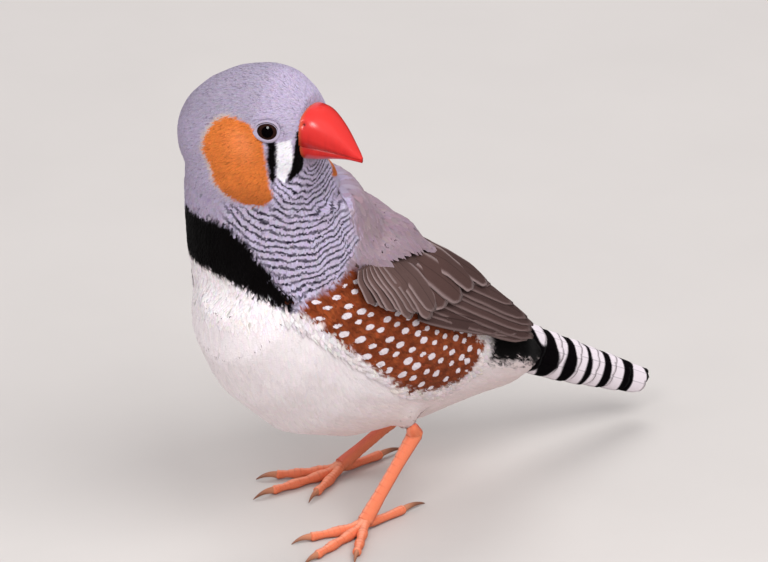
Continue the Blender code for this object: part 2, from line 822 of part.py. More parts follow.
def make_leg(label, foot, ankle, knee, toe_turn, torso, home, cutters):
    """A feathered thigh's lower end, the shank, the foot with its toes, and the claws."""
    base = foot + Vector((0, 0, SOLE_TOP))
    along = (base - ankle).normalized()
    shank_length = (base - ankle).length * SHANK_SHARES[label]
    made = collection("leg_pieces", rendered=False)
    shank = tube(
        "shank_" + label,
        [ankle + along * (shank_length * share) for share in SHANK_STOPS],
        [share * SHANK_THICKNESS / 2 for share in SHANK_RADII], home, flatten=SHANK_FLATTEN,
    )
    ball("heel", ankle, HEEL_RADIUS, made, 12, 8)
    fuse(shank, made)
    stub_start = ankle + along * (shank_length + GAP)
    sole = tube(
        "foot_" + label, [stub_start, stub_start + along * STUB_LENGTH, base],
        [radius * MM for radius in STUB_RADII], home, flatten=STUB_FLATTEN,
    )
    claws = []
    for name, toe_length in TOE_LENGTHS.items():
        outward = 1 if label == "left" else -1
        angle = toe_turn * outward + math.radians(TOE_ANGLES[name]) * outward
        heading = Vector((math.sin(angle), -math.cos(angle), 0))
        points, radii = toe_points(foot, heading, toe_length * MM, TOE_JOINTS[name])
        tube("toe", points, radii, made)
        claw_start = points[-1] + heading * GAP
        claw_line, claw_radii = claw_points(claw_start, heading, CLAW_LENGTHS[name] * MM)
        claws.append(tube("claw_" + label + "_" + name, claw_line, claw_radii, home))
    ball("pad", foot + Vector((0, 0, PAD_HEIGHT)), PAD_RADIUS, made, 12, 8)
    fuse(sole, made)
    flatten_soles(sole)
    bpy.data.collections.remove(made)
    for claw in claws:
        flatten_soles(claw)
    down = (ankle - knee).normalized()
    tibia = ankle - down * (HEEL_RADIUS + GAP) - knee
    thigh = tube(
        "thigh_" + label,
        [knee + tibia * share for share in THIGH_STOPS],
        [radius * MM for radius in THIGH_RADII], home, sides=THIGH_SIDES,
    )
    cut_clear(thigh, [torso], cutters)
    return shank, sole, thigh


def paint(obj):
    for start, colour, roughness in FINISHES:
        if obj.name.startswith(start):
            material = bpy.data.materials.new(obj.name)
            material.use_nodes = True
            shader = material.node_tree.nodes["Principled BSDF"]
            shader.inputs["Base Color"].default_value = (*colour, 1)
            shader.inputs["Roughness"].default_value = roughness
            obj.data.materials.clear()
            obj.data.materials.append(material)


def centre_on_origin(home):
    """Moves every part alike, so that the middle of the bird's box stands over the origin."""
    points = [vert.co for obj in home.objects for vert in obj.data.vertices]
    middle_x = (min(point.x for point in points) + max(point.x for point in points)) / 2
    middle_y = (min(point.y for point in points) + max(point.y for point in points)) / 2
    shift = Matrix.Translation((-middle_x, -middle_y, 0))
    for obj in home.objects:
        obj.data.transform(shift)


def main():
    clear_scene()
    draw = random.Random(11)
    home = collection("zebra_finch")
    cutters = collection("cutters", rendered=False)
    body = make_body(cutters)
    surface = BodySurface(body)
    thin_out(body, BODY_TRIANGLES)
    parts = part_body(body, home)
    bpy.data.objects.remove(body, do_unlink=True)
    make_tail(parts["tail"], draw)
    wings = [make_wing(surface, side, home, draw) for side in (1, -1)]
    for wing in wings:
        cut_clear(wing, [parts["torso"], parts["neck"], parts["tail"]], cutters)
    bill = [bill_half("bill_upper", True, home), bill_half("bill_lower", False, home)]
    cut_nostrils(bill[0])
    make_eyes(parts["head"], surface, home, cutters)
    make_leg("left", FOOT_LEFT, ANKLE_LEFT, KNEE_LEFT, TOE_TURN_LEFT, parts["torso"], home, cutters)
    make_leg("right", FOOT_RIGHT, ANKLE_RIGHT, KNEE_RIGHT, TOE_TURN_RIGHT, parts["torso"], home, cutters)
    centre_on_origin(home)
    for obj in home.objects:
        paint(obj)


main()
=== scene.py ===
"""The looks of a life-size male zebra finch, built as a Blender add-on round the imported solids.

Lengths in the tables below are millimetres in the bird's own frame: the bird faces -Y, its left is +X
and its soles are at Z = 0. place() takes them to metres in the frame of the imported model.
"""

import math
from functools import partial
from types import SimpleNamespace

import bmesh
import bpy
import numpy as np
from mathutils import Matrix, Vector
from mathutils.bvhtree import BVHTree


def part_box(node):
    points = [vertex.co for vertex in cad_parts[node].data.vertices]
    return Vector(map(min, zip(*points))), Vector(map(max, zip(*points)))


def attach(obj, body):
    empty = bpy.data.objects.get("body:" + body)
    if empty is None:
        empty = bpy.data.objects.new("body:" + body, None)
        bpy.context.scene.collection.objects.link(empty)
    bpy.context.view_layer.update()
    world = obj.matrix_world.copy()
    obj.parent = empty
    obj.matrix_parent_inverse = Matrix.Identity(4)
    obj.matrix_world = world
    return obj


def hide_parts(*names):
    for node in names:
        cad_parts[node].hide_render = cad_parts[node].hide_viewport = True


bl_info = {
    "name": "Zebra finch plumage",
    "version": (1, 0, 0),
    "blender": (4, 5, 0),
    "location": "3D View > Sidebar > Finch",
    "description": "Skin, feathers, bill, eyes and legs over the solids of a zebra finch",
    "category": "Object",
}

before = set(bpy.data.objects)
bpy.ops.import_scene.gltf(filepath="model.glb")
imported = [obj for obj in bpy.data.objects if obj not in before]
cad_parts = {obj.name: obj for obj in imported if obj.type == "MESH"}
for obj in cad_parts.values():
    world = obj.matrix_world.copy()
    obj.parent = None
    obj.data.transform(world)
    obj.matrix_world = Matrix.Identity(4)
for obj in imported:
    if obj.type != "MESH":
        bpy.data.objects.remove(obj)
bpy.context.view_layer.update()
MM = 0.001

# Head: where it stands in the solids, from the eyes, and how far it is turned
EYE_FORWARD = 6.98
EYE_UP = 3.13
HEAD_CENTRE = Vector((1.8, -19.5, 62.6))
BILL_FACE = 10.9
EYE_RADIUS = 2.0
EYE_TURNS = (24.0, 10.0)


def box_middle(node):
    low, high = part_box(node)
    return (low + high) / 2


def find_head():
    """Directions of the head, and the shift from the bird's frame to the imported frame."""
    left_eye = box_middle("eye_left")
    right_eye = box_middle("eye_right")
    left = (left_eye - right_eye).normalized()
    up = Vector((0, 0, 1))
    forward = left.cross(up).normalized()
    middle = (left_eye + right_eye) / 2
    centre = middle - forward * (EYE_FORWARD * MM) - up * (EYE_UP * MM)
    return forward, left, up, centre - HEAD_CENTRE * MM


FORWARD, LEFT, UP, SHIFT = find_head()
HEAD_AXES = np.array((FORWARD, LEFT, UP))


def place(points):
    """Millimetres in the bird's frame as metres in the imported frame."""
    return np.asarray(points, float) * MM + np.array(SHIFT)


def unplace(points):
    """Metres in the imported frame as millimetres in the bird's frame."""
    return (np.asarray(points, float) - np.array(SHIFT)) / MM


def to_head(points):
    """Forward, left and up in the head's own frame, in millimetres."""
    return (points - np.array(HEAD_CENTRE)) @ HEAD_AXES.T


def from_head(points):
    return np.asarray(points, float) @ HEAD_AXES + np.array(HEAD_CENTRE)


def unit(vectors):
    size = np.linalg.norm(vectors, axis=-1, keepdims=True)
    return vectors / np.maximum(size, 1e-9)


def ease(low, high, values):
    """0 at low and before it, 1 at high and beyond, smooth between."""
    t = np.clip((values - low) / (high - low), 0, 1)
    return t * t * (3 - 2 * t)


# Colours and materials

def channel(value):
    """One sRGB channel from 0 to 1 as a linear value."""
    return value / 12.92 if value <= 0.04045 else ((value + 0.055) / 1.055) ** 2.4


def linear(code):
    """An sRGB hex colour as three linear values."""
    digits = code.lstrip("#")
    return np.array([channel(int(digits[i:i + 2], 16) / 255) for i in (0, 2, 4)])


def add_node(tree, kind, inputs=(), output=0, **settings):
    """Adds a node of a kind, or of a kind and operation, with its settings; links or sets its inputs by
    order or by key; and gives one of its outputs."""
    kind, _, operation = kind.partition(".")
    node = tree.nodes.new("ShaderNode" + kind)
    if operation:
        settings["operation"] = operation
    for name, value in settings.items():
        setattr(node, name, value)
    for key, value in inputs.items() if isinstance(inputs, dict) else enumerate(inputs):
        socket = node.inputs[key]
        if isinstance(value, bpy.types.NodeSocket):
            tree.links.new(value, socket)
        else:
            socket.default_value = (*value, 1) if socket.type == "RGBA" else value
    return node.outputs[output]


def new_material(name, **shader_values):
    """A node material, what adds its nodes, and its shader with its constant values set."""
    material = bpy.data.materials.new(name)
    material.use_nodes = True
    shader = material.node_tree.nodes["Principled BSDF"]
    for key, value in shader_values.items():
        shader.inputs[key.replace("_", " ")].default_value = value
    return material, partial(add_node, material.node_tree), shader


def paint(node, colour, over, *shares):
    """Puts one colour over another by the product of the shares. A share is a socket, a number, or a value
    with the two places between which the share rises smoothly from 0 to 1."""
    total = None
    for share in shares:
        if isinstance(share, tuple):
            share = node("MapRange", share, interpolation_type="SMOOTHSTEP")
        total = share if total is None else node("Math.MULTIPLY", (total, share))
    return node("Mix", {0: total, 6: colour, 7: over}, 2, data_type="RGBA")


def dress(node, shader, colour, relief=None, strength=0, depth=0):
    """Gives the shader its colour, and a relief of this strength and depth in millimetres."""
    links = shader.id_data.links
    links.new(colour, shader.inputs["Base Color"])
    if relief:
        bump = node("Bump", {"Strength": strength, "Distance": depth * MM, "Height": relief})
        links.new(bump, shader.inputs["Normal"])


def cells(size):
    """The scale of a pattern whose cells are this many millimetres wide."""
    return 1 / (size * MM)


def plumage_material(name, pitch, depth, roughness, sheen, shaft=0.0, edge_from=0.55, mottle=0.16):
    """Feather keratin. The vane attribute gives the place on each feather in millimetres."""
    material, node, shader = new_material(
        name, Roughness=roughness, Sheen_Weight=sheen, Sheen_Roughness=0.4, IOR=1.54,
        Specular_IOR_Level=0.1,
    )
    colour, rim = (node("Attribute", attribute_name=key) for key in ("plumage", "rim"))
    vane, marks = (node("Attribute", output=1, attribute_name=key) for key in ("vane", "marks"))
    across, along, margin = node("SeparateXYZ", (vane,), THREE)
    bar, strength, spot = node("SeparateXYZ", (marks,), THREE)
    fine = node("TexNoise", {"Scale": cells(FEATHER_FLECK), "Detail": 2.0})
    wobble = node("Math.MULTIPLY_ADD", (fine, 0.3, -0.15))
    # Pale or dark edge of each feather
    edge = node("Math.ADD", (margin, wobble))
    colour = paint(node, colour, rim, (edge, edge_from, 0.98))
    # Cross bars, one dark line to each whole number of the bar attribute
    shake = node("Math.MULTIPLY_ADD", (fine, 0.36, -0.18))
    shaken = node("Math.ADD", (bar, shake))
    phase = node("Math.FRACT", (shaken,))
    centred = node("Math.SUBTRACT", (phase, 0.5))
    from_middle = node("Math.ABSOLUTE", (centred,))
    colour = paint(node, colour, BAR_DARK, (from_middle, 0.24, 0.36), strength)
    # White spots of the flank and bands of the tail, where the spot attribute is under 1
    near = node("Math.ADD", (spot, wobble))
    colour = paint(node, colour, SPOT_WHITE, (near, 1.1, 0.88))
    # Barbs run outwards and forwards from the shaft; real ones are 0.03 mm apart, drawn coarser to show
    from_shaft = node("Math.ABSOLUTE", (across,))
    slant = node("Math.MULTIPLY", (from_shaft, 0.8))
    run = node("Math.SUBTRACT", (along, slant))
    turn = node("Math.MULTIPLY", (run, math.tau / pitch))
    wave = node("Math.SINE", (turn,))
    ridge = node("Math.MULTIPLY_ADD", (wave, 0.5, 0.5))
    shade = node("Math.MULTIPLY_ADD", (ridge, depth, 1 - depth))
    uneven = node("Math.MULTIPLY_ADD", (fine, mottle * 2, 1 - mottle))
    value = node("Math.MULTIPLY", (shade, uneven))
    if shaft:
        close = node("MapRange", (from_shaft, 0.13, 0.03), interpolation_type="SMOOTHSTEP")
        darker = node("Math.MULTIPLY_ADD", (close, -shaft, 1.0))
        value = node("Math.MULTIPLY", (value, darker))
    tone = node("VectorMath.SCALE", {0: colour, "Scale": value})
    dress(node, shader, tone, ridge if depth else None, 0.3, 0.04)
    return material


# Feathers: name, pitch and depth of the barbs, roughness, sheen, and what else is special
PLUMAGE = {
    # Short contour feathers of the head: matt and velvety, with barbs too fine to see singly
    "short": ("short_contour_feather", 0.3, 0.05, 0.8, 0.03, {}),
    # Throat feathers: the same, a little longer, crossed by the dark bars
    "throat": ("barred_throat_feather", 0.3, 0.06, 0.78, 0.03, {}),
    # Loose body feathers with downy edges: soft and matt
    "down": ("loose_body_feather", 0.4, 0.03, 0.85, 0.03, {"mottle": 0.05}),
    # Flank feathers: firmer, richly coloured, with white spots
    "flank": ("spotted_flank_feather", 0.3, 0.10, 0.75, 0.03, {}),
    # Mantle feathers: soft, brownish grey with paler edges
    "mantle": ("soft_mantle_feather", 0.3, 0.07, 0.8, 0.03, {"edge_from": 0.7}),
    # Flight and tail feathers: stiff vanes with a darker shaft, pale edges and a slight gloss
    "flight": ("stiff_vane_feather", 0.24, 0.07, 0.6, 0.02, {"shaft": 0.3, "edge_from": 0.66}),
    # Skin between the feathers and their downy bases: dull, in the colours of the coat over it
    "skin": ("skin_and_feather_bases", 0.5, 0.0, 0.9, 0.1, {}),
}
# The outputs of a node that takes a vector apart
THREE = slice(0, 3)
# Width of the flecks in a feather's colour
FEATHER_FLECK = 2 / 3

# Plumage colours
CROWN_GREY = linear("#A197AB")
FACE_GREY = linear("#B4A8C0")
NAPE_GREY = linear("#A79BB2")
NECK_GREY = linear("#ADA1B9")
THROAT_PALE = linear("#C6BBD5")
BAR_DARK = linear("#221E2E")
BLACK = linear("#070405")
CHEEK = linear("#D87636")
# Painted light and painted shade on the orange cheek
CHEEK_PAINTED_LIGHT = linear("#F08C54")
CHEEK_PAINTED_SHADE = linear("#A85A2A")
CHEEK_RIM = linear("#CDB9A6")
STRIPE_WHITE = linear("#F4F1F8")
BELLY = linear("#F0E7E9")
# Painted shade low on the belly
BELLY_PAINTED_SHADE = linear("#E0C8C4")
CHESTNUT = linear("#9A4A28")
CHESTNUT_DARK = linear("#743318")
SPOT_WHITE = linear("#EDE2E8")
MANTLE = linear("#9C8791")
WING_BROWN = linear("#543E3A")
WING_EDGE = linear("#A38D8B")
FLIGHT_BROWN = linear("#513C39")
FLIGHT_EDGE = linear("#846E6B")
COVERT_BROWN = linear("#634D49")
COVERT_EDGE = linear("#9C8785")
TAIL_BLACK = linear("#0B070A")
TAIL_GREY = linear("#4A4048")


# Where the markings are

# Outlines on the side of the head: distance round the head from the bill's middle line, and height
FACE_ROUND = 8.5
FACE_AXIS = 2.0
CHEEK_OUTLINE = (
    (17.0, -0.5), (16.7, 1.8), (15.8, 3.7), (14.1, 4.7), (11.5, 4.6), (9.6, 3.9), (8.1, 1.9),
    (7.6, -1.5), (7.2, -4.5), (6.7, -6.2), (8.1, -7.6), (10.5, -7.5), (13.0, -6.5), (15.5, -4.5),
)
TEAR_OUTLINE = ((7.5, 2.0), (6.4, 2.0), (6.3, -0.8), (6.35, -3.2), (6.7, -4.8), (7.15, -3.4), (7.5, -1.0))
STRIPE_OUTLINE = ((6.4, 1.9), (4.6, 2.1), (4.3, -0.6), (4.5, -2.6), (5.2, -4.3), (6.2, -3.4), (6.4, -1.0))
LORE_OUTLINE = (
    (2.2, 3.4), (3.7, 3.2), (4.1, 1.5), (4.4, -0.8), (4.6, -2.8), (5.0, -4.4), (4.0, -3.8), (2.4, -2.4),
)
# The black breast patch: angle round the neck from straight ahead towards the left, and height
NECK_AXIS = (0.6, -14.0)
PATCH_OUTLINE = (
    (-62, 46.5), (-40, 49.5), (-20, 51.2), (3, 51.5), (18, 51.4), (26, 50.4), (33, 49.0), (43, 45.8),
    (53, 42.6), (60, 41.1), (67, 40.2), (62, 38.7), (51, 39.6), (35, 41.0), (16, 42.0), (-6, 42.6),
    (-24, 42.6), (-58, 43.5),
)
# Millimetres round the neck to one degree
DEGREES_TO_MM = 0.21
# The chestnut flank from the side: distance along the body, and height
FLANK_OUTLINE = (
    (-20.2, 39.4), (-17.3, 36.9), (-14.0, 33.6), (-11.4, 31.0), (-7.0, 27.2), (-2.4, 23.3), (1.5, 21.3),
    (5.7, 20.0), (10.5, 20.0), (13.6, 21.4), (15.6, 24.0), (12.0, 29.0), (4.0, 33.0), (-4.0, 37.5),
    (-9.6, 42.6), (-12.0, 42.0), (-14.5, 40.8), (-18.0, 40.0),
)
# Throat bars are rings about this point of the chin, in the head's frame
CHIN = (10.5, 0.0, -1.5)
CHIN_SIDE_SHARE = 0.8
BAR_TILT = ((8.0, 0.0), (12.0, 0.08), (15.0, 0.18), (20.0, 0.36))
BAR_REAR_EDGE = ((38, 93), (40, 99), (43, 103), (46, 109), (48, 113), (50, 110), (53, 107), (57, 104))
BAR_LOWER_EDGE = ((16, 42.4), (35, 41.2), (51, 39.8), (62, 38.6), (72, 38.0), (100, 40.5))
BAR_PITCH = ((3.0, 0.72), (8.0, 0.90), (14.0, 1.10), (22.0, 1.2))
# White spots of the flank: spacing along and across the lie of the feathers, how far they wander, and radius
SPOT_SPACING = (2.9, 2.35)
SPOT_WANDER = 0.5
SPOT_RADIUS = 0.66
# Spot distance of places with no spot near
NO_SPOT = 9.0


def ripple(points, pitch, seed):
    """A smooth random wave over space, about -1 to 1, with this distance between its crests."""
    draw = np.random.default_rng(seed)
    total = np.zeros(len(points))
    for _ in range(5):
        direction = unit(draw.normal(0, 1, 3))
        rate = math.tau / pitch * draw.uniform(0.7, 1.4)
        total += np.sin(points @ direction * rate + draw.uniform(0, math.tau))
    return total / 2.6


def scatter_value(i, j, seed):
    """A repeatable random value from 0 to 1 for each cell."""
    value = np.sin(i * 12.9898 + j * 78.233 + seed * 37.719) * 43758.5453
    return value - np.floor(value)


def spot_distance(y, z):
    """Distance from the nearest flank spot over that spot's radius."""
    along = y * 0.84 - z * 0.54
    across = y * 0.54 + z * 0.84
    # Smaller and closer together towards the shoulder
    closer = np.maximum(across - 19.0, 0)
    across = across + 0.024 * closer ** 2
    along = along * (1 + 0.035 * closer)
    row = np.floor(across / SPOT_SPACING[1])
    best = np.full(len(y), NO_SPOT)
    for dj in (-1, 0, 1):
        j = row + dj
        offset = (j % 2) * 0.5
        column = np.floor(along / SPOT_SPACING[0] - offset)
        for di in (-1, 0, 1):
            i = column + di
            u = (i + 0.5 + offset) * SPOT_SPACING[0] + (scatter_value(i, j, 1) - 0.5) * SPOT_WANDER * 2
            v = (j + 0.5) * SPOT_SPACING[1] + (scatter_value(i, j, 2) - 0.5) * SPOT_WANDER * 2
            size = SPOT_RADIUS * (0.85 + 0.35 * scatter_value(i, j, 3))
            best = np.minimum(best, np.hypot((along - u) * 0.92, across - v) / size)
    return best


def edge_distance(x, y, outline):
    """Distance from points to a closed outline, positive inside it."""
    outline = np.asarray(outline, float)
    nearest = np.full(len(x), 1e9)
    inside = np.zeros(len(x), bool)
    for (x0, y0), (x1, y1) in zip(outline, np.roll(outline, -1, axis=0)):
        dx = x1 - x0
        dy = y1 - y0
        t = np.clip(((x - x0) * dx + (y - y0) * dy) / (dx * dx + dy * dy), 0, 1)
        nearest = np.minimum(nearest, np.hypot(x - x0 - t * dx, y - y0 - t * dy))
        crosses = (y0 > y) != (y1 > y)
        if dy:
            inside ^= crosses & (x < dx * (y - y0) / dy + x0)
    return np.where(inside, nearest, -nearest)


def ring_number(distance):
    """How many bars lie between the chin and this distance from it."""
    places = np.linspace(0, 40, 401)
    pitch = read_table(BAR_PITCH, places)
    count = np.concatenate(([0], np.cumsum(np.diff(places) / pitch[1:])))
    return np.interp(distance, places, count)


def read_table(table, value):
    """Reads the second column of a table at a value of its first one."""
    return np.interp(value, *zip(*table))


def body_axis(y):
    """Sideways place and height of the middle of the body."""
    return SIDE_BEND * (y - BEND_CENTRE_Y) ** 2, read_table(BODY_AXIS, y)


def mix(base, colour, share):
    """Blends rows of base towards one colour by share."""
    return base + (colour - base) * np.clip(share, 0, 1)[:, None]


def body_place(points):
    """Where points lie on the bird, in the measures that the markings use."""
    at = SimpleNamespace()
    at.points = points
    at.x, at.y, at.z = points.T
    at.forward, at.left, at.up = to_head(points).T
    at.head_angle = np.arctan2(np.abs(at.left), at.forward - FACE_AXIS)
    at.round_head = at.head_angle * FACE_ROUND
    at.neck_angle = np.degrees(np.arctan2(at.x - NECK_AXIS[0], -(at.y - NECK_AXIS[1])))
    at.wave = ripple(points, 2.6, 1)
    at.fine = ripple(points, 1.0, 2)
    at.ragged = 0.22 * at.wave + 0.16 * at.fine
    return at


def paint_body(at, colour):
    """White below and painted warmer and darker low between the legs as painted shade, grey brown above, and
    a black rump.
    """
    # Painted shade: warmer and darker low on the belly, between the legs
    colour = mix(colour, BELLY_PAINTED_SHADE, 0.6 * ease(27, 14, at.z) * ease(-18, 2, at.y))
    above_axis = at.z - body_axis(at.y)[1] + 0.6 * at.wave
    mantle = ease(3.0, 6.0, above_axis + 0.35 * np.maximum(-at.y - 6, 0)) * ease(-17, -12, at.y)
    mantle = np.maximum(mantle, ease(-12.5, -9.5, at.y) * ease(40.5, 43.5, at.z))
    colour = mix(colour, MANTLE, mantle * ease(30, 25, at.y))
    return mix(colour, BLACK, ease(-2.6, -1.4, above_axis) * ease(16.5, 18.5, at.y))


def paint_head(at, colour):
    neck = ease(43, 46, at.z) * ease(-8.0, -10.5, at.y)
    neck = np.maximum(neck, ease(52, 55, at.z))
    neck = neck * (1 - ease(112, 128, np.abs(at.neck_angle)) * ease(57, 52, at.z))
    colour = mix(colour, NECK_GREY, neck)
    colour = mix(colour, NAPE_GREY, ease(-2, -8, at.forward) * ease(46, 52, at.z) * 0.6)
    colour = mix(colour, CROWN_GREY, ease(1.0, 5.0, at.up))
    return mix(colour, FACE_GREY, ease(3.0, 8.0, at.forward) * ease(-9.0, -6.0, at.up))


def throat_bars(at):
    """The number of the throat's bar at each point, and how strongly it shows there."""
    chin = np.array((at.forward - CHIN[0], (at.left - CHIN[1]) * CHIN_SIDE_SHARE, at.up - CHIN[2]))
    ring = np.linalg.norm(chin, axis=0)
    ring = ring + read_table(BAR_TILT, ring) * (at.left + 5)
    ring = ring + 0.26 * ripple(at.points, 4.5, 3) + 0.13 * at.wave
    rear_edge = read_table(BAR_REAR_EDGE, at.z) + 4 * at.wave
    bars = ease(12, 26, at.neck_angle) * ease(5, -4, at.neck_angle - rear_edge)
    bars = bars * ease(-0.4, 0.5, at.z - read_table(BAR_LOWER_EDGE, at.neck_angle))
    under_bill = ease(-1.8, -3.4, at.up) * ease(54, 42, np.degrees(at.head_angle))
    lower_face = ease(-7.2, -8.4, at.up) * ease(-3.5, 0.5, at.forward)
    bars = bars * np.maximum(under_bill, lower_face)
    bars = np.where(at.z < 51, bars, bars * ease(-1, 2, at.forward))
    return ring_number(ring), bars


def paint_face(at, colour, bars):
    """The white stripe, the black lines before and behind it, and the orange cheek, with painted light on
    its upper front and painted shade low on it.
    """
    on_face = ease(0, 2, at.forward)
    for outline, stripe in ((STRIPE_OUTLINE, STRIPE_WHITE), (LORE_OUTLINE, BLACK), (TEAR_OUTLINE, BLACK)):
        inside = edge_distance(at.round_head, at.up, outline) + 0.05 * at.fine
        share = ease(-0.14, 0.14, inside) * on_face
        colour = mix(colour, stripe, share)
        bars = bars * (1 - share)
    # The far cheek reaches further under the bill, as the head is turned
    turned = at.round_head + 2.4 * ease(0, 2, at.left) * ease(-2.5, -5.0, at.up)
    too_low = 3 * (at.left > 0) * ease(56.0, 55.2, at.z)
    cheek = edge_distance(turned, at.up, CHEEK_OUTLINE) + 0.10 * at.fine - too_low
    share = ease(-0.18, 0.22, cheek)
    colour = mix(colour, CHEEK_RIM, 0.7 * ease(-0.8, -0.1, cheek) * ease(11, 15, at.round_head))
    colour = mix(colour, CHEEK, share)
    # Painted light on the upper front of the cheek, then painted shade towards its lower part
    light = ease(0.5, 2.5, cheek) * ease(-3.5, 2.5, at.up) * ease(15, 10.5, at.round_head)
    colour = mix(colour, CHEEK_PAINTED_LIGHT, 0.75 * light * share)
    colour = mix(colour, CHEEK_PAINTED_SHADE, 0.7 * ease(-1.5, -7.0, at.up + 0.8 * at.wave) * share)
    return colour, bars * (1 - share)


def paint_breast(at, colour, bars, blur):
    patch = edge_distance(at.neck_angle * DEGREES_TO_MM, at.z, np.array(PATCH_OUTLINE) * (DEGREES_TO_MM, 1))
    share = ease(-blur, blur, patch + at.ragged * 1.2) * ease(-6.0, -8.0, at.y)
    return mix(colour, BLACK, share), bars * (1 - share)


def paint_flank(at, colour, bars, blur):
    """The chestnut flank, and the distance from its nearest white spot."""
    flank = edge_distance(at.y, at.z, FLANK_OUTLINE) + at.ragged * 1.5
    share = ease(-blur, blur, flank) * ease(6.0, 7.5, np.abs(at.x))
    rust = mix(np.tile(CHESTNUT, (len(colour), 1)), CHESTNUT_DARK, 0.5 + 0.5 * at.wave)
    colour = colour + (rust - colour) * share[:, None]
    bars = bars * (1 - ease(-0.6, 0.2, flank) * (np.abs(at.x) > 6))
    spot = np.where(share > 0.5, spot_distance(at.y, at.z) + ease(0.7, 0.1, flank), NO_SPOT)
    return colour, bars, spot


def markings(points, blur=0.35):
    """Colour, bar number, bar strength and spot distance at points of the body."""
    at = body_place(points)
    colour = paint_body(at, np.tile(BELLY, (len(points), 1)))
    colour = paint_head(at, colour)
    ring, bars = throat_bars(at)
    colour = mix(colour, THROAT_PALE, bars)
    colour, bars = paint_face(at, colour, bars * (0.86 + 0.2 * at.fine))
    colour, bars = paint_breast(at, colour, bars, blur)
    colour, bars, spot = paint_flank(at, colour, bars, blur)
    return colour, ring, np.clip(bars, 0, 1), spot


# Middle of the body at each distance along it: y, z
BODY_AXIS = (
    (-22.8, 42.5), (-20.0, 40.0), (-14.5, 36.5), (-6.0, 32.5), (4.0, 28.3), (14.0, 24.0), (24.0, 20.0),
    (32.0, 16.5), (39.0, 13.6), (45.0, 11.0), (56.0, 5.6),
)
SIDE_BEND = 0.0023
BEND_CENTRE_Y = 10.0


# Mesh building

def add_object(name, data):
    """Makes an object of a mesh, lamp or camera in the scene."""
    obj = bpy.data.objects.new(name, data)
    bpy.context.scene.collection.objects.link(obj)
    return obj


def piece(name, points, faces, material, replaces=()):
    """Makes an object from points in millimetres, and lets it ride on the model."""
    mesh = bpy.data.meshes.new(name)
    mesh.from_pydata(place(points).astype(np.float32), [], faces)
    mesh.polygons.foreach_set("use_smooth", np.full(len(mesh.polygons), True))
    mesh.update()
    mesh.materials.append(material)
    obj = add_object(name, mesh)
    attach(obj, "root")
    if replaces:
        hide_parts(*replaces)
    return obj


def store(mesh, name, kind, values):
    """Writes one attribute of the mesh's points."""
    layer = mesh.attributes.new(name, kind, "POINT")
    field = {"FLOAT_COLOR": "color", "FLOAT_VECTOR": "vector"}[kind]
    layer.data.foreach_set(field, np.ascontiguousarray(values, np.float32).ravel())


def store_plumage(mesh, colour, rim, vane, marks):
    """Writes what the feather materials read: two colours, the place on the vane, and the markings."""
    ones = np.ones((len(colour), 1))
    store(mesh, "plumage", "FLOAT_COLOR", np.hstack((colour, ones)))
    store(mesh, "rim", "FLOAT_COLOR", np.hstack((rim, ones)))
    store(mesh, "vane", "FLOAT_VECTOR", vane)
    store(mesh, "marks", "FLOAT_VECTOR", marks)


def store_bake_map(mesh, points_uv):
    """The OFBake map from one UV place for each vertex."""
    layer = mesh.uv_layers.new(name="OFBake")
    corners = np.zeros(len(mesh.loops), np.int32)
    mesh.loops.foreach_get("vertex_index", corners)
    layer.data.foreach_set("uv", np.clip(points_uv, 0.001, 0.999)[corners].astype(np.float32).ravel())


def skin_chart(points):
    """An unwrap of the skin: the head as a globe in the upper part, the body as a tube below."""
    head = to_head(points)
    size = np.linalg.norm(head, axis=1)
    on_head = points[:, 2] > 54.5
    turn = np.arctan2(head[:, 1], head[:, 0]) / math.tau + 0.5
    tilt = np.arcsin(np.clip(head[:, 2] / np.maximum(size, 1e-6), -1, 1)) / math.pi + 0.5
    axis_x, axis_z = body_axis(points[:, 1])
    angle = np.arctan2(points[:, 0] - axis_x, points[:, 2] - axis_z) / math.tau + 0.5
    along = (points[:, 1] - points[:, 2] * 0.45 + 52) / 110
    globe = np.stack((turn, 0.61 + 0.38 * tilt), 1)
    tube = np.stack((angle, 0.01 + 0.57 * along), 1)
    return np.clip(np.where(on_head[:, None], globe, tube), 0.004, 0.996)


def read_vectors(mesh, field):
    """One vector for each vertex of a mesh, such as its place or its normal."""
    values = np.zeros(len(mesh.vertices) * 3)
    mesh.vertices.foreach_get(field, values)
    return values.reshape(-1, 3)


# Draws for each root that is kept
ROOT_TRIES = 9


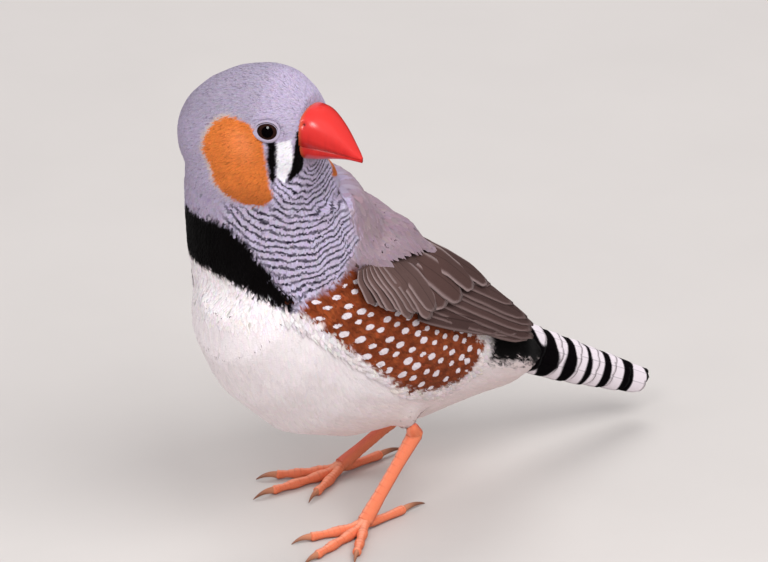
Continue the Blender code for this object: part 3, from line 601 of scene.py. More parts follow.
class Surface:
    """Nearest places and normals on a mesh, in millimetres."""

    def __init__(self, points, normals, triangles):
        self.points = points
        self.normals = normals
        self.triangles = triangles
        self.tree = BVHTree.FromPolygons(points.tolist(), triangles.tolist())

    @classmethod
    def of_mesh(cls, mesh):
        mesh.calc_loop_triangles()
        corners = np.zeros(len(mesh.loop_triangles) * 3, np.int32)
        mesh.loop_triangles.foreach_get("vertices", corners)
        return cls(unplace(read_vectors(mesh, "co")), read_vectors(mesh, "normal"), corners.reshape(-1, 3))

    def joined(self, others):
        """This surface and others as one."""
        parts = [self, *others]
        starts = np.cumsum([0] + [len(part.points) for part in parts])
        return Surface(
            np.vstack([part.points for part in parts]),
            np.vstack([part.normals for part in parts]),
            np.vstack([part.triangles + start for part, start in zip(parts, starts)]),
        )

    def nearest(self, points):
        """Places and smooth normals on the surface nearest to the points."""
        places = np.empty((len(points), 3))
        faces = np.empty(len(points), int)
        find = self.tree.find_nearest
        for index, point in enumerate(points.tolist()):
            hit = find(point)
            places[index] = hit[0]
            faces[index] = hit[2]
        normals = unit(self.normals[self.triangles[faces]].mean(axis=1))
        return places, normals

    def scatter(self, spacing, keep, draw):
        """Seeded roots about one spacing apart where keep(points, normals) is true."""
        a, b, c = (self.points[self.triangles[:, i]] for i in range(3))
        area = np.linalg.norm(np.cross(b - a, c - a), axis=1) / 2
        wanted = keep(((a + b + c) / 3), unit(self.normals[self.triangles].mean(axis=1)))
        area = np.where(wanted, area, 0)
        count = int(area.sum() / spacing ** 2 * ROOT_TRIES)
        chosen = draw.choice(len(area), count, p=area / area.sum())
        u = np.sqrt(draw.random(count))[:, None]
        v = draw.random(count)[:, None]
        roots = a[chosen] * (1 - u) + b[chosen] * (u * (1 - v)) + c[chosen] * (u * v)
        _, first = np.unique(np.floor(roots / spacing).astype(int), axis=0, return_index=True)
        normals = unit(self.normals[self.triangles[chosen[first]]].mean(axis=1))
        return roots[first], normals


def read_outline(outline, t):
    """The share of its full width that a feather has at t, from its root at 0 to its tip at 1."""
    return np.interp(t, np.linspace(0, 1, len(outline)), outline)


def square_to(vectors, normals):
    """The part of each vector that lies square to its normal, as a direction."""
    return unit(vectors - normals * (vectors * normals).sum(-1, keepdims=True))


def vane_grid(rows, columns):
    """Faces of one thin closed vane, and for each vertex its row, its column and whether it is below."""
    across = columns + 1
    top = np.arange((rows + 1) * across).reshape(rows + 1, across)
    under = top.copy()
    inner = np.arange((rows - 1) * (columns - 1)).reshape(rows - 1, columns - 1)
    under[1:-1, 1:-1] = inner + top.size
    faces = []
    for r in range(rows):
        for c in range(columns):
            faces.append((top[r, c], top[r + 1, c], top[r + 1, c + 1], top[r, c + 1]))
            faces.append((under[r, c], under[r, c + 1], under[r + 1, c + 1], under[r + 1, c]))
    r_top, c_top = np.divmod(np.arange(top.size), across)
    r_low, c_low = np.divmod(np.arange(inner.size), columns - 1)
    row = np.concatenate((r_top, r_low + 1))
    column = np.concatenate((c_top, c_low + 1))
    below = np.concatenate((np.zeros(top.size), np.ones(inner.size)))
    return np.array(faces), row, column, below


def tuft_grid(rows):
    """Faces of a small closed tuft three vertices wide: a ridged top, a plain underside and two ends."""
    faces = []
    for r in range(rows):
        a, b, c = 3 * r, 3 * r + 1, 3 * r + 2
        faces.extend(((a, a + 3, b + 3, b), (b, b + 3, c + 3, c), (a, a + 3, c + 3, c)))
    last = 3 * rows
    ends = ((0, 1, 2), (last, last + 2, last + 1))
    return np.array(faces), np.array(ends)


def follow_skin(surface, roots, normals, heading, length, rows):
    """Walks each feather over the surface: its places, normals and headings, row by row."""
    path = [roots]
    normal_at = [normals]
    heading_at = [heading]
    for _ in range(rows):
        ahead = path[-1] + heading_at[-1] * (length / rows)[:, None]
        near, normal = surface.nearest(ahead)
        normal = unit(normal + normal_at[-1] * 0.5)
        path.append(near)
        normal_at.append(normal)
        heading_at.append(square_to(heading_at[-1], normal))
    return np.array(path), np.array(normal_at), np.array(heading_at)


def lay_feathers(surface, roots, normals, length, width, draw, rows=4, rise=0.35, sink=0.12,
                 outline=(0.45, 0.9, 1.0, 0.85, 0.25), ragged=0.0, arch=0.1, stray=0.12, bulge=0.35):
    """Closed tufts that start in the skin and follow it: points, normals, faces, place on the vane, grid."""
    count = len(roots)
    quads, ends = tuft_grid(rows)
    row, column = np.divmod(np.arange(3 * (rows + 1)), 3)
    t = row / rows
    a = column - 1.0
    heading = lie_of_coat(roots, normals)
    side = np.cross(normals, heading)
    heading = unit(heading + side * draw.normal(0, stray, count)[:, None])
    path, normal_at, heading_at = follow_skin(surface, roots, normals, heading, length, rows)
    side_at = unit(np.cross(normal_at, heading_at))
    centre, normal, across, along = (
        values[row].transpose(1, 0, 2) for values in (path, normal_at, side_at, heading_at)
    )
    lift = -sink + (sink + rise) * np.sin(t * math.pi / 2) ** 0.8
    lift = lift * draw.uniform(0.85, 1.2, count)[:, None]
    half = read_outline(outline, t) * width[:, None] / 2
    height = lift + half * arch * (1 - a * a) * 2
    points = centre + normal * height[..., None] + across * (half * a)[..., None]
    if ragged:
        teeth = np.where(row == rows, 1.0, 0.35 * (row == rows - 1))
        jag = draw.uniform(-1, 0.4, (count, len(row))) * teeth * ragged
        rounding = -(a * a) * teeth * width[:, None] * 0.35
        # A tip is never drawn back past the row behind it
        shift = np.maximum(jag + rounding, -0.55 * (length / rows)[:, None] * teeth)
        points = points + along * shift[..., None]
    # Shading follows the skin, with a little of each vane's own roundness, so the coat reads as soft
    shading = unit(normal + across * (a * bulge)[:, None] + along * 0.08)
    margin = np.maximum(np.abs(a) * (0.35 + 0.65 * t), np.clip((t - 0.6) / 0.4, 0, 1))
    vane = np.stack((half * a, length[:, None] * t, np.broadcast_to(margin, half.shape)), -1)
    starts = (np.arange(count) * len(row))[:, None, None]
    faces = [(part[None] + starts).reshape(-1, part.shape[1]).tolist() for part in (quads, ends)]
    return points, shading, faces[0] + faces[1], vane, np.stack((a, t), 1)


# Width of each feather's patch of the bake map
PATCH = 0.003


# How far the bars of one feather slip against the next one's, in bars
BAR_SLIP = 0.1


def coat_colours(shade, tint=0.03, tip_light=0.08, fleck=0.0, wander=0.25, blur=0.35, edge=1.1):
    """How a coat piece is coloured: the markings, varied a little from feather to feather."""
    def colour_of(points, grid, draw):
        count, per, _ = points.shape
        moved = points + draw.normal(0, wander, (count, 1, 3))
        colour = markings(moved.reshape(-1, 3), blur)[0]
        _, ring, bars, spot = markings(points.reshape(-1, 3), blur)
        light = 1 + draw.normal(0, shade, (count, 1))
        light = np.where(draw.random((count, 1)) < fleck, light * 0.7, light)
        light = light * (1 - tip_light + 2 * tip_light * grid[None, :, 1])
        hue = 1 + draw.normal(0, tint, (count, 1, 3))
        colour = colour.reshape(count, per, 3) * np.clip(light, 0.3, 1.6)[..., None] * hue
        colour = np.clip(colour, 0, 1)
        ring = ring.reshape(count, per) + draw.normal(0, BAR_SLIP, (count, 1))
        marks = np.stack((ring, bars.reshape(count, per), spot.reshape(count, per)), -1)
        return colour, np.clip(colour * edge, 0, 1), marks
    return colour_of


def lie_of_coat(points, normals):
    """Which way feathers lie: away from the bill on the head, back and down on the body."""
    z = points[:, 2:3]
    from_bill = unit(to_head(points) - np.array((BILL_FACE + 6.0, 0.0, 1.0)))
    on_head = unit(from_bill @ HEAD_AXES + np.array((0, 0, -0.45)))
    on_neck = np.array((0.0, 0.25, -0.97)) - 0.35 * HEAD_AXES[0] * ease(44, 50, z)
    on_breast = np.array((0.0, 0.2, -0.98))
    on_back = np.array((0.0, 0.84, -0.54))
    on_body = on_breast + (on_back - on_breast) * ease(-22, -4, points[:, 1:2])
    body = on_neck + (on_body - on_neck) * ease(50, 40, z)
    return square_to(body + (on_head - body) * ease(49, 57, z), normals)


# Settings that a user would change

class FinchSizes(bpy.types.PropertyGroup):
    """Sizes of the coat and the lids, and the seed"""
    coat_depth: bpy.props.FloatProperty(
        name="Coat depth", description="Depth of the coat over the skin of the body",
        default=0.8 * MM, unit="LENGTH", precision=5,
    )
    face_depth: bpy.props.FloatProperty(
        name="Face depth", description="Depth of the short feathers of the head",
        default=0.35 * MM, unit="LENGTH", precision=5,
    )
    lid_opening: bpy.props.FloatProperty(
        name="Lid opening", description="Half the width of the opening of the lids",
        default=1.3 * MM, unit="LENGTH", precision=5,
    )
    seed: bpy.props.IntProperty(name="Seed", description="Seed of every random draw", default=7)


class FinchColours(bpy.types.PropertyGroup):
    """Colours of the bare parts and the floor"""
    bill: bpy.props.FloatVectorProperty(
        name="Bill", description="Red of the bill", subtype="COLOR", default=linear("#D92824"),
    )
    leg: bpy.props.FloatVectorProperty(
        name="Legs", description="Orange of the legs", subtype="COLOR", default=linear("#F07C52"),
    )
    floor: bpy.props.FloatVectorProperty(
        name="Floor", description="Pale floor", subtype="COLOR", default=linear("#CFCAC6"),
    )


# Skin

SKIN_VOXEL = 0.42
FLESH = ("torso", "neck", "head", "thigh_left", "thigh_right")
SEAM_FILL = 0.2
# The root of the tail under its coverts: centre, half width, half height
RUMP_RINGS = (
    ((1.3, 33.0, 16.0), 5.4, 3.4), ((1.6, 37.0, 14.2), 4.2, 2.4), ((2.2, 42.0, 12.0), 2.4, 1.3),
    ((2.8, 46.5, 9.9), 1.5, 0.8), ((3.2, 49.5, 8.5), 0.7, 0.4),
)
# How far the hind end is narrowed, and how far below the tail's line it lies
RUMP_SLIM = 0.42
RUMP_DROP = 0.6
# What one operator leaves for the next: materials and surfaces
shapes = {}


def flesh_copy(name, grow):
    """Points and faces of a flesh node, moved out by grow millimetres."""
    bm = bmesh.new()
    bm.from_mesh(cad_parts[name].data)
    bmesh.ops.remove_doubles(bm, verts=bm.verts, dist=0.000001)
    bmesh.ops.recalc_face_normals(bm, faces=bm.faces)
    bm.normal_update()
    bm.verts.index_update()
    points = [vert.co + vert.normal * (grow * MM) for vert in bm.verts]
    faces = [[vert.index for vert in face.verts] for face in bm.faces]
    bm.free()
    return points, faces


def rump_form():
    """Points and faces of a cone that carries the body on into the root of the tail."""
    points = []
    around = 20
    for centre, wide, high in RUMP_RINGS:
        for step in range(around):
            angle = math.tau * step / around
            offset = Vector((wide * math.cos(angle), 0.45 * high * math.sin(angle), high * math.sin(angle)))
            points.append(Vector(place([Vector(centre) + offset])[0]))
    faces = [list(range(around)), [around * (len(RUMP_RINGS) - 1) + i for i in range(around)][::-1]]
    for level in range(len(RUMP_RINGS) - 1):
        for step in range(around):
            a = level * around + step
            b = level * around + (step + 1) % around
            faces.append([a, a + around, b + around, b])
    return points, faces


def remesh(name, points, faces, voxel, rounds):
    """One closed even mesh over all that is given, smoothed."""
    mesh = bpy.data.meshes.new(name)
    mesh.from_pydata(points, [], faces)
    obj = add_object(name, mesh)
    even = obj.modifiers.new("Even", "REMESH")
    even.mode = "VOXEL"
    even.voxel_size = voxel * MM
    soft = obj.modifiers.new("Soft", "SMOOTH")
    soft.factor = 0.5
    soft.iterations = rounds
    bpy.context.view_layer.update()
    graph = bpy.context.evaluated_depsgraph_get()
    made = bpy.data.meshes.new_from_object(obj.evaluated_get(graph))
    bpy.data.objects.remove(obj, do_unlink=True)
    return made


def slim_rump(form):
    """Narrows the hind end towards the line of the tail, whose coverts close over it."""
    points = unplace(read_vectors(form, "co"))
    y = points[:, 1]
    length = TAIL_TIP.y - TAIL_ROOT.y
    middle = np.stack((
        TAIL_ROOT.x + (y - TAIL_ROOT.y) * (TAIL_TIP.x - TAIL_ROOT.x) / length,
        y,
        TAIL_ROOT.z - RUMP_DROP + (y - TAIL_ROOT.y) * (TAIL_TIP.z - TAIL_ROOT.z) / length,
    ), 1)
    slim = RUMP_SLIM * ease(27.0, 38.0, y)[:, None]
    points = points + (middle - points) * slim * (points[:, 2:3] > 6.5)
    form.vertices.foreach_set("co", place(points).astype(np.float32).ravel())
    form.update()


def skin_depth(outer, sizes):
    """How deep the skin lies under the solids: less on the head, at the bill and round the eyes."""
    on_head = ease(50, 57, outer.points[:, 2])
    depth = sizes.coat_depth / MM + (sizes.face_depth - sizes.coat_depth) / MM * on_head
    eye_far = np.minimum(*(np.linalg.norm(outer.points - eye, axis=1) for eye in eye_centres()))
    depth = depth * (0.45 + 0.55 * ease(2.4, 4.0, eye_far))
    # It is sunk in front of each eye, where the lids take its place
    for side, centre in zip((1, -1), eye_centres()):
        offset = outer.points - centre
        run = offset @ eye_axis(side)
        away = np.sqrt(np.maximum((offset ** 2).sum(axis=1) - run ** 2, 0))
        depth = depth + 0.9 * ease(2.2, 1.75, away) * (run > 0)
    near_bill = ease(8.5, 10.4, to_head(outer.points)[:, 0]) * on_head
    return depth * (1 - 0.5 * near_bill)


def build_skin(sizes):
    """One skin over the flesh of the solids, which the feathers grow from."""
    points = []
    faces = []
    forms = [flesh_copy(name, SEAM_FILL) for name in (*FLESH, "eye_left", "eye_right")]
    forms.append(rump_form())
    for more_points, more_faces in forms:
        start = len(points)
        points.extend(more_points)
        faces.extend([index + start for index in face] for face in more_faces)
    form = remesh("form", points, faces, SKIN_VOXEL, 8)
    slim_rump(form)
    outer = Surface.of_mesh(form)
    depth = skin_depth(outer, sizes)
    skin_points = outer.points - outer.normals * (depth + SEAM_FILL)[:, None]
    colour, ring, bars, spot = markings(skin_points + outer.normals * depth[:, None])
    faces = [list(polygon.vertices) for polygon in form.polygons]
    obj = piece("skin", skin_points, faces, shapes["skin_material"], FLESH)
    marks = np.stack((ring, bars, spot), 1)
    store_plumage(obj.data, colour * 0.9, colour * 0.9, np.zeros_like(colour), marks)
    store_bake_map(obj.data, skin_chart(skin_points))
    bpy.data.meshes.remove(form)
    shapes["form"] = outer
    shapes["skin"] = Surface.of_mesh(obj.data)


def eye_centres():
    """The middles of the left and the right eye in the bird's frame."""
    return [unplace([box_middle(name)])[0] for name in ("eye_left", "eye_right")]


def eye_axis(side):
    """The direction in which an eye looks, in the bird's frame."""
    turn, lift = (math.radians(value) for value in EYE_TURNS)
    outward = np.array((
        math.sin(turn) * math.cos(lift), side * math.cos(turn) * math.cos(lift), math.sin(lift),
    ))
    return unit(outward @ HEAD_AXES)


# Feathers keep this far from the middle of an eye
EYE_CLEARANCE = 1.45


def clear_of_face(points):
    """True where a point is neither over an eye's opening nor on the bill."""
    forward, left, up = to_head(points).T
    clear = ~((forward > 10.75) & (np.abs(left) < 4.0) & (up > -2.9) & (up < 5.9))
    for side, centre in zip((1, -1), eye_centres()):
        axis = eye_axis(side)
        offset = points - centre
        towards_bill, above = axis_frame(axis)
        run = offset @ towards_bill
        away = np.hypot(run / np.where(run < 0, 1.17, 1.06), (offset @ above) / 0.93)
        clear &= ~((offset @ axis > 0) & (away < EYE_CLEARANCE))
    return clear


def keep_clear(roots, normals, length):
    """Leaves out the feathers that would reach over an eye or the bill."""
    heading = lie_of_coat(roots, normals)
    good = np.ones(len(roots), bool)
    for share in (0.0, 0.5, 1.0):
        good &= clear_of_face(roots + heading * (length * share))
    return roots[good], normals[good]


def round_body(points):
    """Angle round the body's own axis, in degrees from its side up."""
    axis_x, axis_z = body_axis(points[:, 1])
    return np.degrees(np.arctan2(points[:, 2] - axis_z, np.abs(points[:, 0] - axis_x)))


def under_wing(points):
    """True where the folded wings hide the body."""
    y = points[:, 1]
    angle = round_body(points)
    low = np.interp(y, (-8, 0, 18), (32, 14, 12))
    high = np.interp(y, (-8, 0, 18), (46, 58, 70))
    return (y > -8) & (y < 18) & (angle > low) & (angle < high)


def under_tail_coverts(points):
    """True where the stiff coverts of the tail take the place of the soft coat."""
    y = points[:, 1]
    return (y > 29) & (round_body(points) > np.interp(y, (29, 33, 38), (40, 0, -60)))


def clothed_by_cape(points, skin, capes):
    """True for points of the skin that no cape covers, and for points of a cape that stand over the skin."""
    kept = np.ones(len(points), bool)
    y = points[:, 1]
    over_wing = round_body(points) > cape_edge(y) + 2
    for index in np.flatnonzero((y > -13) & (y < 18) & (points[:, 2] > 20)):
        point = Vector(points[index])
        near, normal, _, away = skin.tree.find_nearest(point)
        if away < 0.01:
            kept[index] = capes.tree.ray_cast(point + normal * 0.3, normal, 6.0)[0] is None
        else:
            kept[index] = over_wing[index] and (point - near).dot(normal) > 0.05
    return kept


def coat_layer(name, material, slot, seed, spacing, keep, length, width, colour_of,
               surface=None, trail=0.0, **shape):
    """Scatters the feathers of one region where keep(points, normals) is true, and joins them as one piece.
    colour_of(points, grid, draw) gives plumage, rim and marks for each vertex."""
    draw = np.random.default_rng(seed)
    surface = surface or shapes["skin"]
    roots, normals = keep_clear(*surface.scatter(spacing, keep, draw), length)
    low_down = ease(25, 17, roots[:, 2])
    lengths = length * draw.uniform(0.8, 1.2, len(roots)) * (1 + trail * low_down)
    widths = width * draw.uniform(0.85, 1.15, len(roots))
    points, shading, faces, vane, grid = lay_feathers(
        surface, roots, normals, lengths, widths, draw, **shape,
    )
    colours = colour_of(points, grid, draw)
    obj = piece(name, points.reshape(-1, 3), faces, shapes[material])
    store_plumage(obj.data, *(values.reshape(-1, 3) for values in (*colours[:2], vane, colours[2])))
    store(obj.data, "custom_normal", "FLOAT_VECTOR", shading.reshape(-1, 3))
    chart = skin_chart(roots)[:, None, :] + PATCH * (grid[None] * (0.5, 1) - (0, 0.5))
    store_bake_map(obj.data, chart.reshape(-1, 2))


def build_head_coat(seed):
    """Very short dense feathers: smallest at the bill and the eyes, longer to the nape."""
    def face(side):
        def keep(points, normals):
            forward, left, _ = to_head(points).T
            return (points[:, 2] > 55) & (forward > 4.6) & (left * side > 0) & clear_of_face(points)
        return keep

    def behind_face(above):
        def keep(points, normals):
            forward, _, up = to_head(points).T
            return (points[:, 2] > 55) & (forward <= 4.6) & ((up > 1.0) == above)
        return keep

    small = dict(rise=0.11, sink=0.06, outline=(0.6, 1.0, 0.75, 0.12), rows=3, ragged=0.12, stray=0.12)
    colours = coat_colours(shade=0.05, fleck=0.03, wander=0.08)
    for side, label in ((1, "left"), (-1, "right")):
        coat_layer(
            "coat_face_" + label, "short_material", "head_plumage", seed + 1, 0.22, face(side),
            0.95, 0.29, colours, **small,
        )
    longer = dict(rise=0.15, sink=0.08, outline=(0.5, 1.0, 0.8, 0.15), rows=3, ragged=0.15, stray=0.10)
    for above, label, shift, fleck in ((True, "crown", 2, 0.04), (False, "cheeks", 3, 0.03)):
        colours = coat_colours(shade=0.06, fleck=fleck, wander=0.14)
        coat_layer(
            "coat_" + label, "short_material", "head_plumage", seed + shift, 0.235, behind_face(above),
            1.5, 0.34, colours, **longer,
        )


def build_neck_coat(seed):
    """Longer feathers round the neck, in two pieces: the throat and the nape."""
    def ruff(points):
        return (points[:, 2] <= 55.6) & (points[:, 2] > 37) & (points[:, 1] < -7)

    def throat(points, normals):
        return ruff(points) & (points[:, 0] > 4)

    def nape(points, normals):
        return ruff(points) & (points[:, 0] <= 4)

    colours = coat_colours(shade=0.06, fleck=0.02, wander=0.22, blur=0.45)
    shape = dict(rise=0.22, rows=4, ragged=0.3, outline=(0.5, 0.95, 1.0, 0.8, 0.25), stray=0.08)
    for name, shift, spacing, keep, width in (
        ("coat_throat", 4, 0.37, throat, 0.58), ("coat_nape", 9, 0.38, nape, 0.6),
    ):
        coat_layer(
            name, "throat_material", "neck_plumage", seed + shift, spacing, keep, 2.1, width, colours,
            **shape,
        )


def build_body_coat(seed):
    """Silky feathers on the breast and the belly, spotted ones on the flanks, soft ones on the back."""
    skin = shapes["skin"]
    capes = shapes["capes"][0].joined(shapes["capes"][1:])

    def belly(points, normals):
        low = (points[:, 2] <= 42) & (normals[:, 2] < 0.45)
        return low & ~under_wing(points) & ~under_tail_coverts(points) & ~on_flank(points)

    def breast(points, normals):
        return belly(points, normals) & (points[:, 1] < -4) & (points[:, 2] <= 39)

    def rear(points, normals):
        return belly(points, normals) & (points[:, 1] >= -4)

    def flank(points, normals):
        return (points[:, 1] < 20) & on_flank(points, 0.8) & ~under_wing(points)

    def back(points, normals):
        high = (points[:, 1] >= -7) & (points[:, 2] > 36)
        upward = (points[:, 1] >= -2) & (normals[:, 2] >= 0.45)
        on_skin = (high | upward) & ~under_wing(points) & ~under_tail_coverts(points)
        lifted = np.array([skin.tree.find_nearest(point)[3] for point in points.tolist()]) > 0.01
        return (points[:, 2] <= 55.6) & clothed_by_cape(points, skin, capes) & (lifted | on_skin)

    silky = dict(
        rise=0.2, rows=4, ragged=0.5, trail=0.45, outline=(0.4, 0.95, 1.0, 0.7, 0.1), stray=0.08,
        bulge=0.15,
    )
    colours = coat_colours(shade=0.025, tint=0.01, tip_light=0.03, wander=0.35, edge=1.03)
    for name, shift, spacing, keep, length, width in (
        ("coat_breast", 5, 0.47, breast, 3.6, 0.85), ("coat_belly", 6, 0.53, rear, 4.2, 0.95),
    ):
        coat_layer(
            name, "down_material", "belly_plumage", seed + shift, spacing, keep, length, width, colours,
            **silky,
        )
    coat_layer(
        "coat_flank", "flank_material", "belly_plumage", seed + 7, 0.41, flank, 2.6, 0.7,
        coat_colours(shade=0.09, tip_light=0.05, wander=0.22, edge=0.9),
        rise=0.45, rows=4, ragged=0.3, outline=(0.5, 0.95, 1.0, 0.85, 0.2), stray=0.1,
    )
    coat_layer(
        "coat_mantle", "mantle_material", "wing_feathers", seed + 8, 0.5, back, 3.4, 1.0,
        coat_colours(shade=0.05, tip_light=0.06, wander=0.4, edge=1.12), surface=skin.joined([capes]),
        rise=0.25, rows=4, ragged=0.5, outline=(0.5, 0.95, 1.0, 0.8, 0.25), bulge=0.2, stray=0.08,
    )


def on_flank(points, margin=0.0):
    """True on the chestnut flank, or within margin of it."""
    deep = edge_distance(points[:, 1], points[:, 2], FLANK_OUTLINE)
    return (deep > -margin) & (np.abs(points[:, 0]) > 6)


# Folded wings

def on_body(form, side, y, angle):
    """Place and normal on one side of the body, at a distance along it and an angle round it in degrees."""
    axis_x, axis_z = body_axis(y)
    axis = Vector((axis_x, y, float(axis_z)))
    angle = math.radians(angle)
    ray = Vector((side * math.cos(angle), 0, math.sin(angle)))
    hit, normal, _, _ = form.tree.ray_cast(axis + ray * 40, -ray)
    return hit, normal


def settle(form, point, lift):
    """The point moved towards or away from the body until it stands lift above it."""
    near, normal, _, _ = form.tree.find_nearest(point)
    away = point - near
    if away.length > 0.2 and away.dot(normal) > 0:
        normal = away.normalized()
    return near + normal * lift


FLIGHT_OUTLINE = (0.62, 0.86, 0.97, 1.0, 0.98, 0.92, 0.74, 0.34)
COVERT_OUTLINE = (0.6, 0.9, 1.0, 1.0, 1.0, 0.92, 0.6)
# Points across a vane from edge to edge, close together at its shaft
VANE_PLACES = (-1.0, -0.85, -0.5, -0.2, -0.06, 0.0, 0.06, 0.2, 0.5, 0.85, 1.0)
# How far a vane's lower edge stands over its neighbour, and how uneven its edges are
SHINGLE = 0.2
VANE_NOTCH = 0.02
# Share of its height at which a wing feather's root lies
ROOT_SINK = 0.45
# Tiers of wing feathers, lowest first: count, first and last root, first, middle and last tip, each as
# distance along the body and angle round it, first and last width, lift, rows, outline and colours
WING_TIERS = (
    (10, (0, 15), (4, 56), ((18.0, 15), (27.5, 24), (17.0, 60)), (3.0, 5.0), 0.75, 22,
     FLIGHT_OUTLINE, FLIGHT_BROWN, FLIGHT_EDGE),
    (4, (-4.0, 43), (8, 62), ((5.6, 21), (12.0, 34), (18.5, 46)), (5.2, 5.6), 1.2, 18,
     COVERT_OUTLINE, WING_BROWN, WING_EDGE),
    (9, (-9.0, 35), (-2.6, 46), ((-7.4, 15), (-2.4, 13.5), (2.8, 17)), (3.0, 3.9), 1.4, 16,
     COVERT_OUTLINE, COVERT_BROWN, COVERT_EDGE),
)
# Where the mantle ends over the wing: distance along the body, and angle round it
CAPE_EDGE = ((-9.5, 34), (-7, 38), (-3, 44), (1, 48), (6, 53), (12, 56), (16, 60))
# The arm under the feathers: its length along the body, and along it its lowest and highest angle and height
PAD_Y = (-9.5, 18.0)
PAD_LOW = (34, 22, 16, 14, 13, 13)
PAD_HIGH = (38, 52, 62, 68, 70, 70)
PAD_THICK = (-1.0, 0.9, 1.15, 0.95, 0.6, 0.2)


def wing_height(y, angle):
    """Share of its full height at which the wing stands: it melts in at the shoulder and the back."""
    return (0.15 + 0.85 * ease(-11, -3, y)) * (1 - 0.6 * ease(46, 68, angle))


def three_point(values, t):
    """A smooth curve through three points at t = 0, 0.5 and 1."""
    first, middle, last = (np.array(value, float) for value in values)
    return first * (1 - t) * (1 - 2 * t) + 4 * middle * t * (1 - t) + last * t * (2 * t - 1)


# Cells of a bake map along each side, one cell to each large vane
MAP_CELLS = 8


def two_sided(rows, one_row):
    """Top and underside grids, where one_row(t) gives the pairs of points of the row at t from 0 to 1."""
    grid = np.array([one_row(row / rows) for row in range(rows + 1)])
    return grid[:, :, 0], grid[:, :, 1]


def shaft_rise(a, height):
    """How high the shaft stands over the vane at a, from edge to edge -1 to 1."""
    return height * math.exp(-(a / 0.07) ** 2)


def vane_edge(a, thick):
    """Thickness of a vane at a: thinner towards its edges."""
    return thick * (1 - 0.6 * abs(a))


def round_tip(a, t, start):
    """How far a vane's tip is drawn back at its edges, as a share, from t = start to its tip."""
    return a * a * max(0.0, t - start) / (1 - start)


class VaneSet:
    """Collects large vanes, each with its own cell of the bake map, and makes one piece of them."""

    def __init__(self):
        self.parts = []
        self.count = 0

    def add(self, top, low, colour, rim, marks=None):
        """Adds a vane from two grids of points, rows by columns."""
        rows = top.shape[0] - 1
        columns = top.shape[1] - 1
        faces, row, column, below = vane_grid(rows, columns)
        points = np.where(below[:, None] > 0, low[row, column], top[row, column])
        middle = (rows // 2, columns // 2)
        along = top[middle[0] + 1, middle[1]] - top[middle]
        across = top[middle[0], middle[1] + 1] - top[middle]
        if np.cross(along, across) @ (top[middle] - low[middle]) < 0:
            faces = faces[:, ::-1]
        t = row / rows
        width = np.linalg.norm(top[:, -1] - top[:, 0], axis=1)[row]
        length = np.linalg.norm(top[-1, columns // 2] - top[0, columns // 2])
        offset = np.linalg.norm(top[row, column] - top[row, 0], axis=1) - width / 2
        tip_margin = np.clip((t - 0.72) / 0.28, 0, 1) ** 1.5
        margin = np.maximum(np.abs(offset) * 2 / np.maximum(width, 1e-6), tip_margin)
        corner = np.array((len(self.parts) % MAP_CELLS, len(self.parts) // MAP_CELLS))
        self.parts.append({
            "points": points,
            "faces": faces + self.count,
            "uv": (corner + np.stack((column / columns, t), 1) * 0.84 + 0.08) / MAP_CELLS,
            "plumage": np.broadcast_to(colour, points.shape),
            "rim": np.broadcast_to(rim, points.shape),
            "vane": np.stack((offset, t * length, margin), 1),
            "marks": marks(points) if marks else np.tile((0.0, 0.0, NO_SPOT), (len(points), 1)),
        })
        self.count += len(points)

    def finish(self, name, material, replaces=()):
        values = {key: np.vstack([part[key] for part in self.parts]) for key in self.parts[0]}
        obj = piece(name, values["points"], values["faces"], material, replaces)
        store_plumage(obj.data, values["plumage"], values["rim"], values["vane"], values["marks"])
        store_bake_map(obj.data, values["uv"])


def folded_vane(form, side, root, tip, width, lift, rows, outline, draw):
    """Top and underside of a feather that lies along the body, its lower edge over its neighbour."""
    course = [root + (tip - root) * (step / rows) for step in range(rows + 1)]
    places, normals = zip(*(on_body(form, side, y, angle) for y, angle in course))
    wave = draw.uniform(0, math.tau)

    def one_row(t):
        step = round(t * rows)
        centre = places[step]
        height = lift * min(1, ROOT_SINK + (1 - ROOT_SINK) * 2 * t) * wing_height(*course[step])
        along = (places[min(step + 1, rows)] - places[max(step - 1, 0)]).normalized()
        across = along.cross(normals[step]).normalized()
        if across.z + 0.5 * across.y < 0:
            across.negate()
        half = width * float(read_outline(outline, t)) / 2
        pairs = []
        for a in VANE_PLACES:
            notch = 1 + VANE_NOTCH * math.sin(wave + 9 * t * (1 + a))
            at = centre + across * (half * a * notch) + along * (-0.2 * width * round_tip(a, t, 0.85))
            rise = height + SHINGLE * (0.5 - 0.5 * a) + shaft_rise(a, 0.05) - 0.12 * a * a * (a > 0)
            pairs.append((settle(form, at, rise), settle(form, at, rise - vane_edge(a, 0.07))))
        return pairs

    return two_sided(rows, one_row)


def wing_pad(form, side):
    """The folded arm under the feathers, which rises out of the coat at its edges."""
    columns = 14
    stops = np.linspace(0, 1, len(PAD_LOW))

    def one_row(t):
        y = PAD_Y[0] + (PAD_Y[1] - PAD_Y[0]) * t
        lowest, highest, thick = (float(np.interp(t, stops, v)) for v in (PAD_LOW, PAD_HIGH, PAD_THICK))
        pairs = []
        for column in range(columns + 1):
            angle = lowest + (highest - lowest) * column / columns
            centre = on_body(form, side, y, angle)[0]
            crown = math.sin(math.pi * column / columns) ** 0.6
            height = (thick * wing_height(y, angle) + 1.1) * crown - 1.1
            pairs.append((settle(form, centre, height), settle(form, centre, -1.3)))
        return pairs

    return two_sided(26, one_row)


def cape_edge(y):
    """The angle round the body above which soft mantle feathers cover the wing."""
    return read_table(CAPE_EDGE, y)


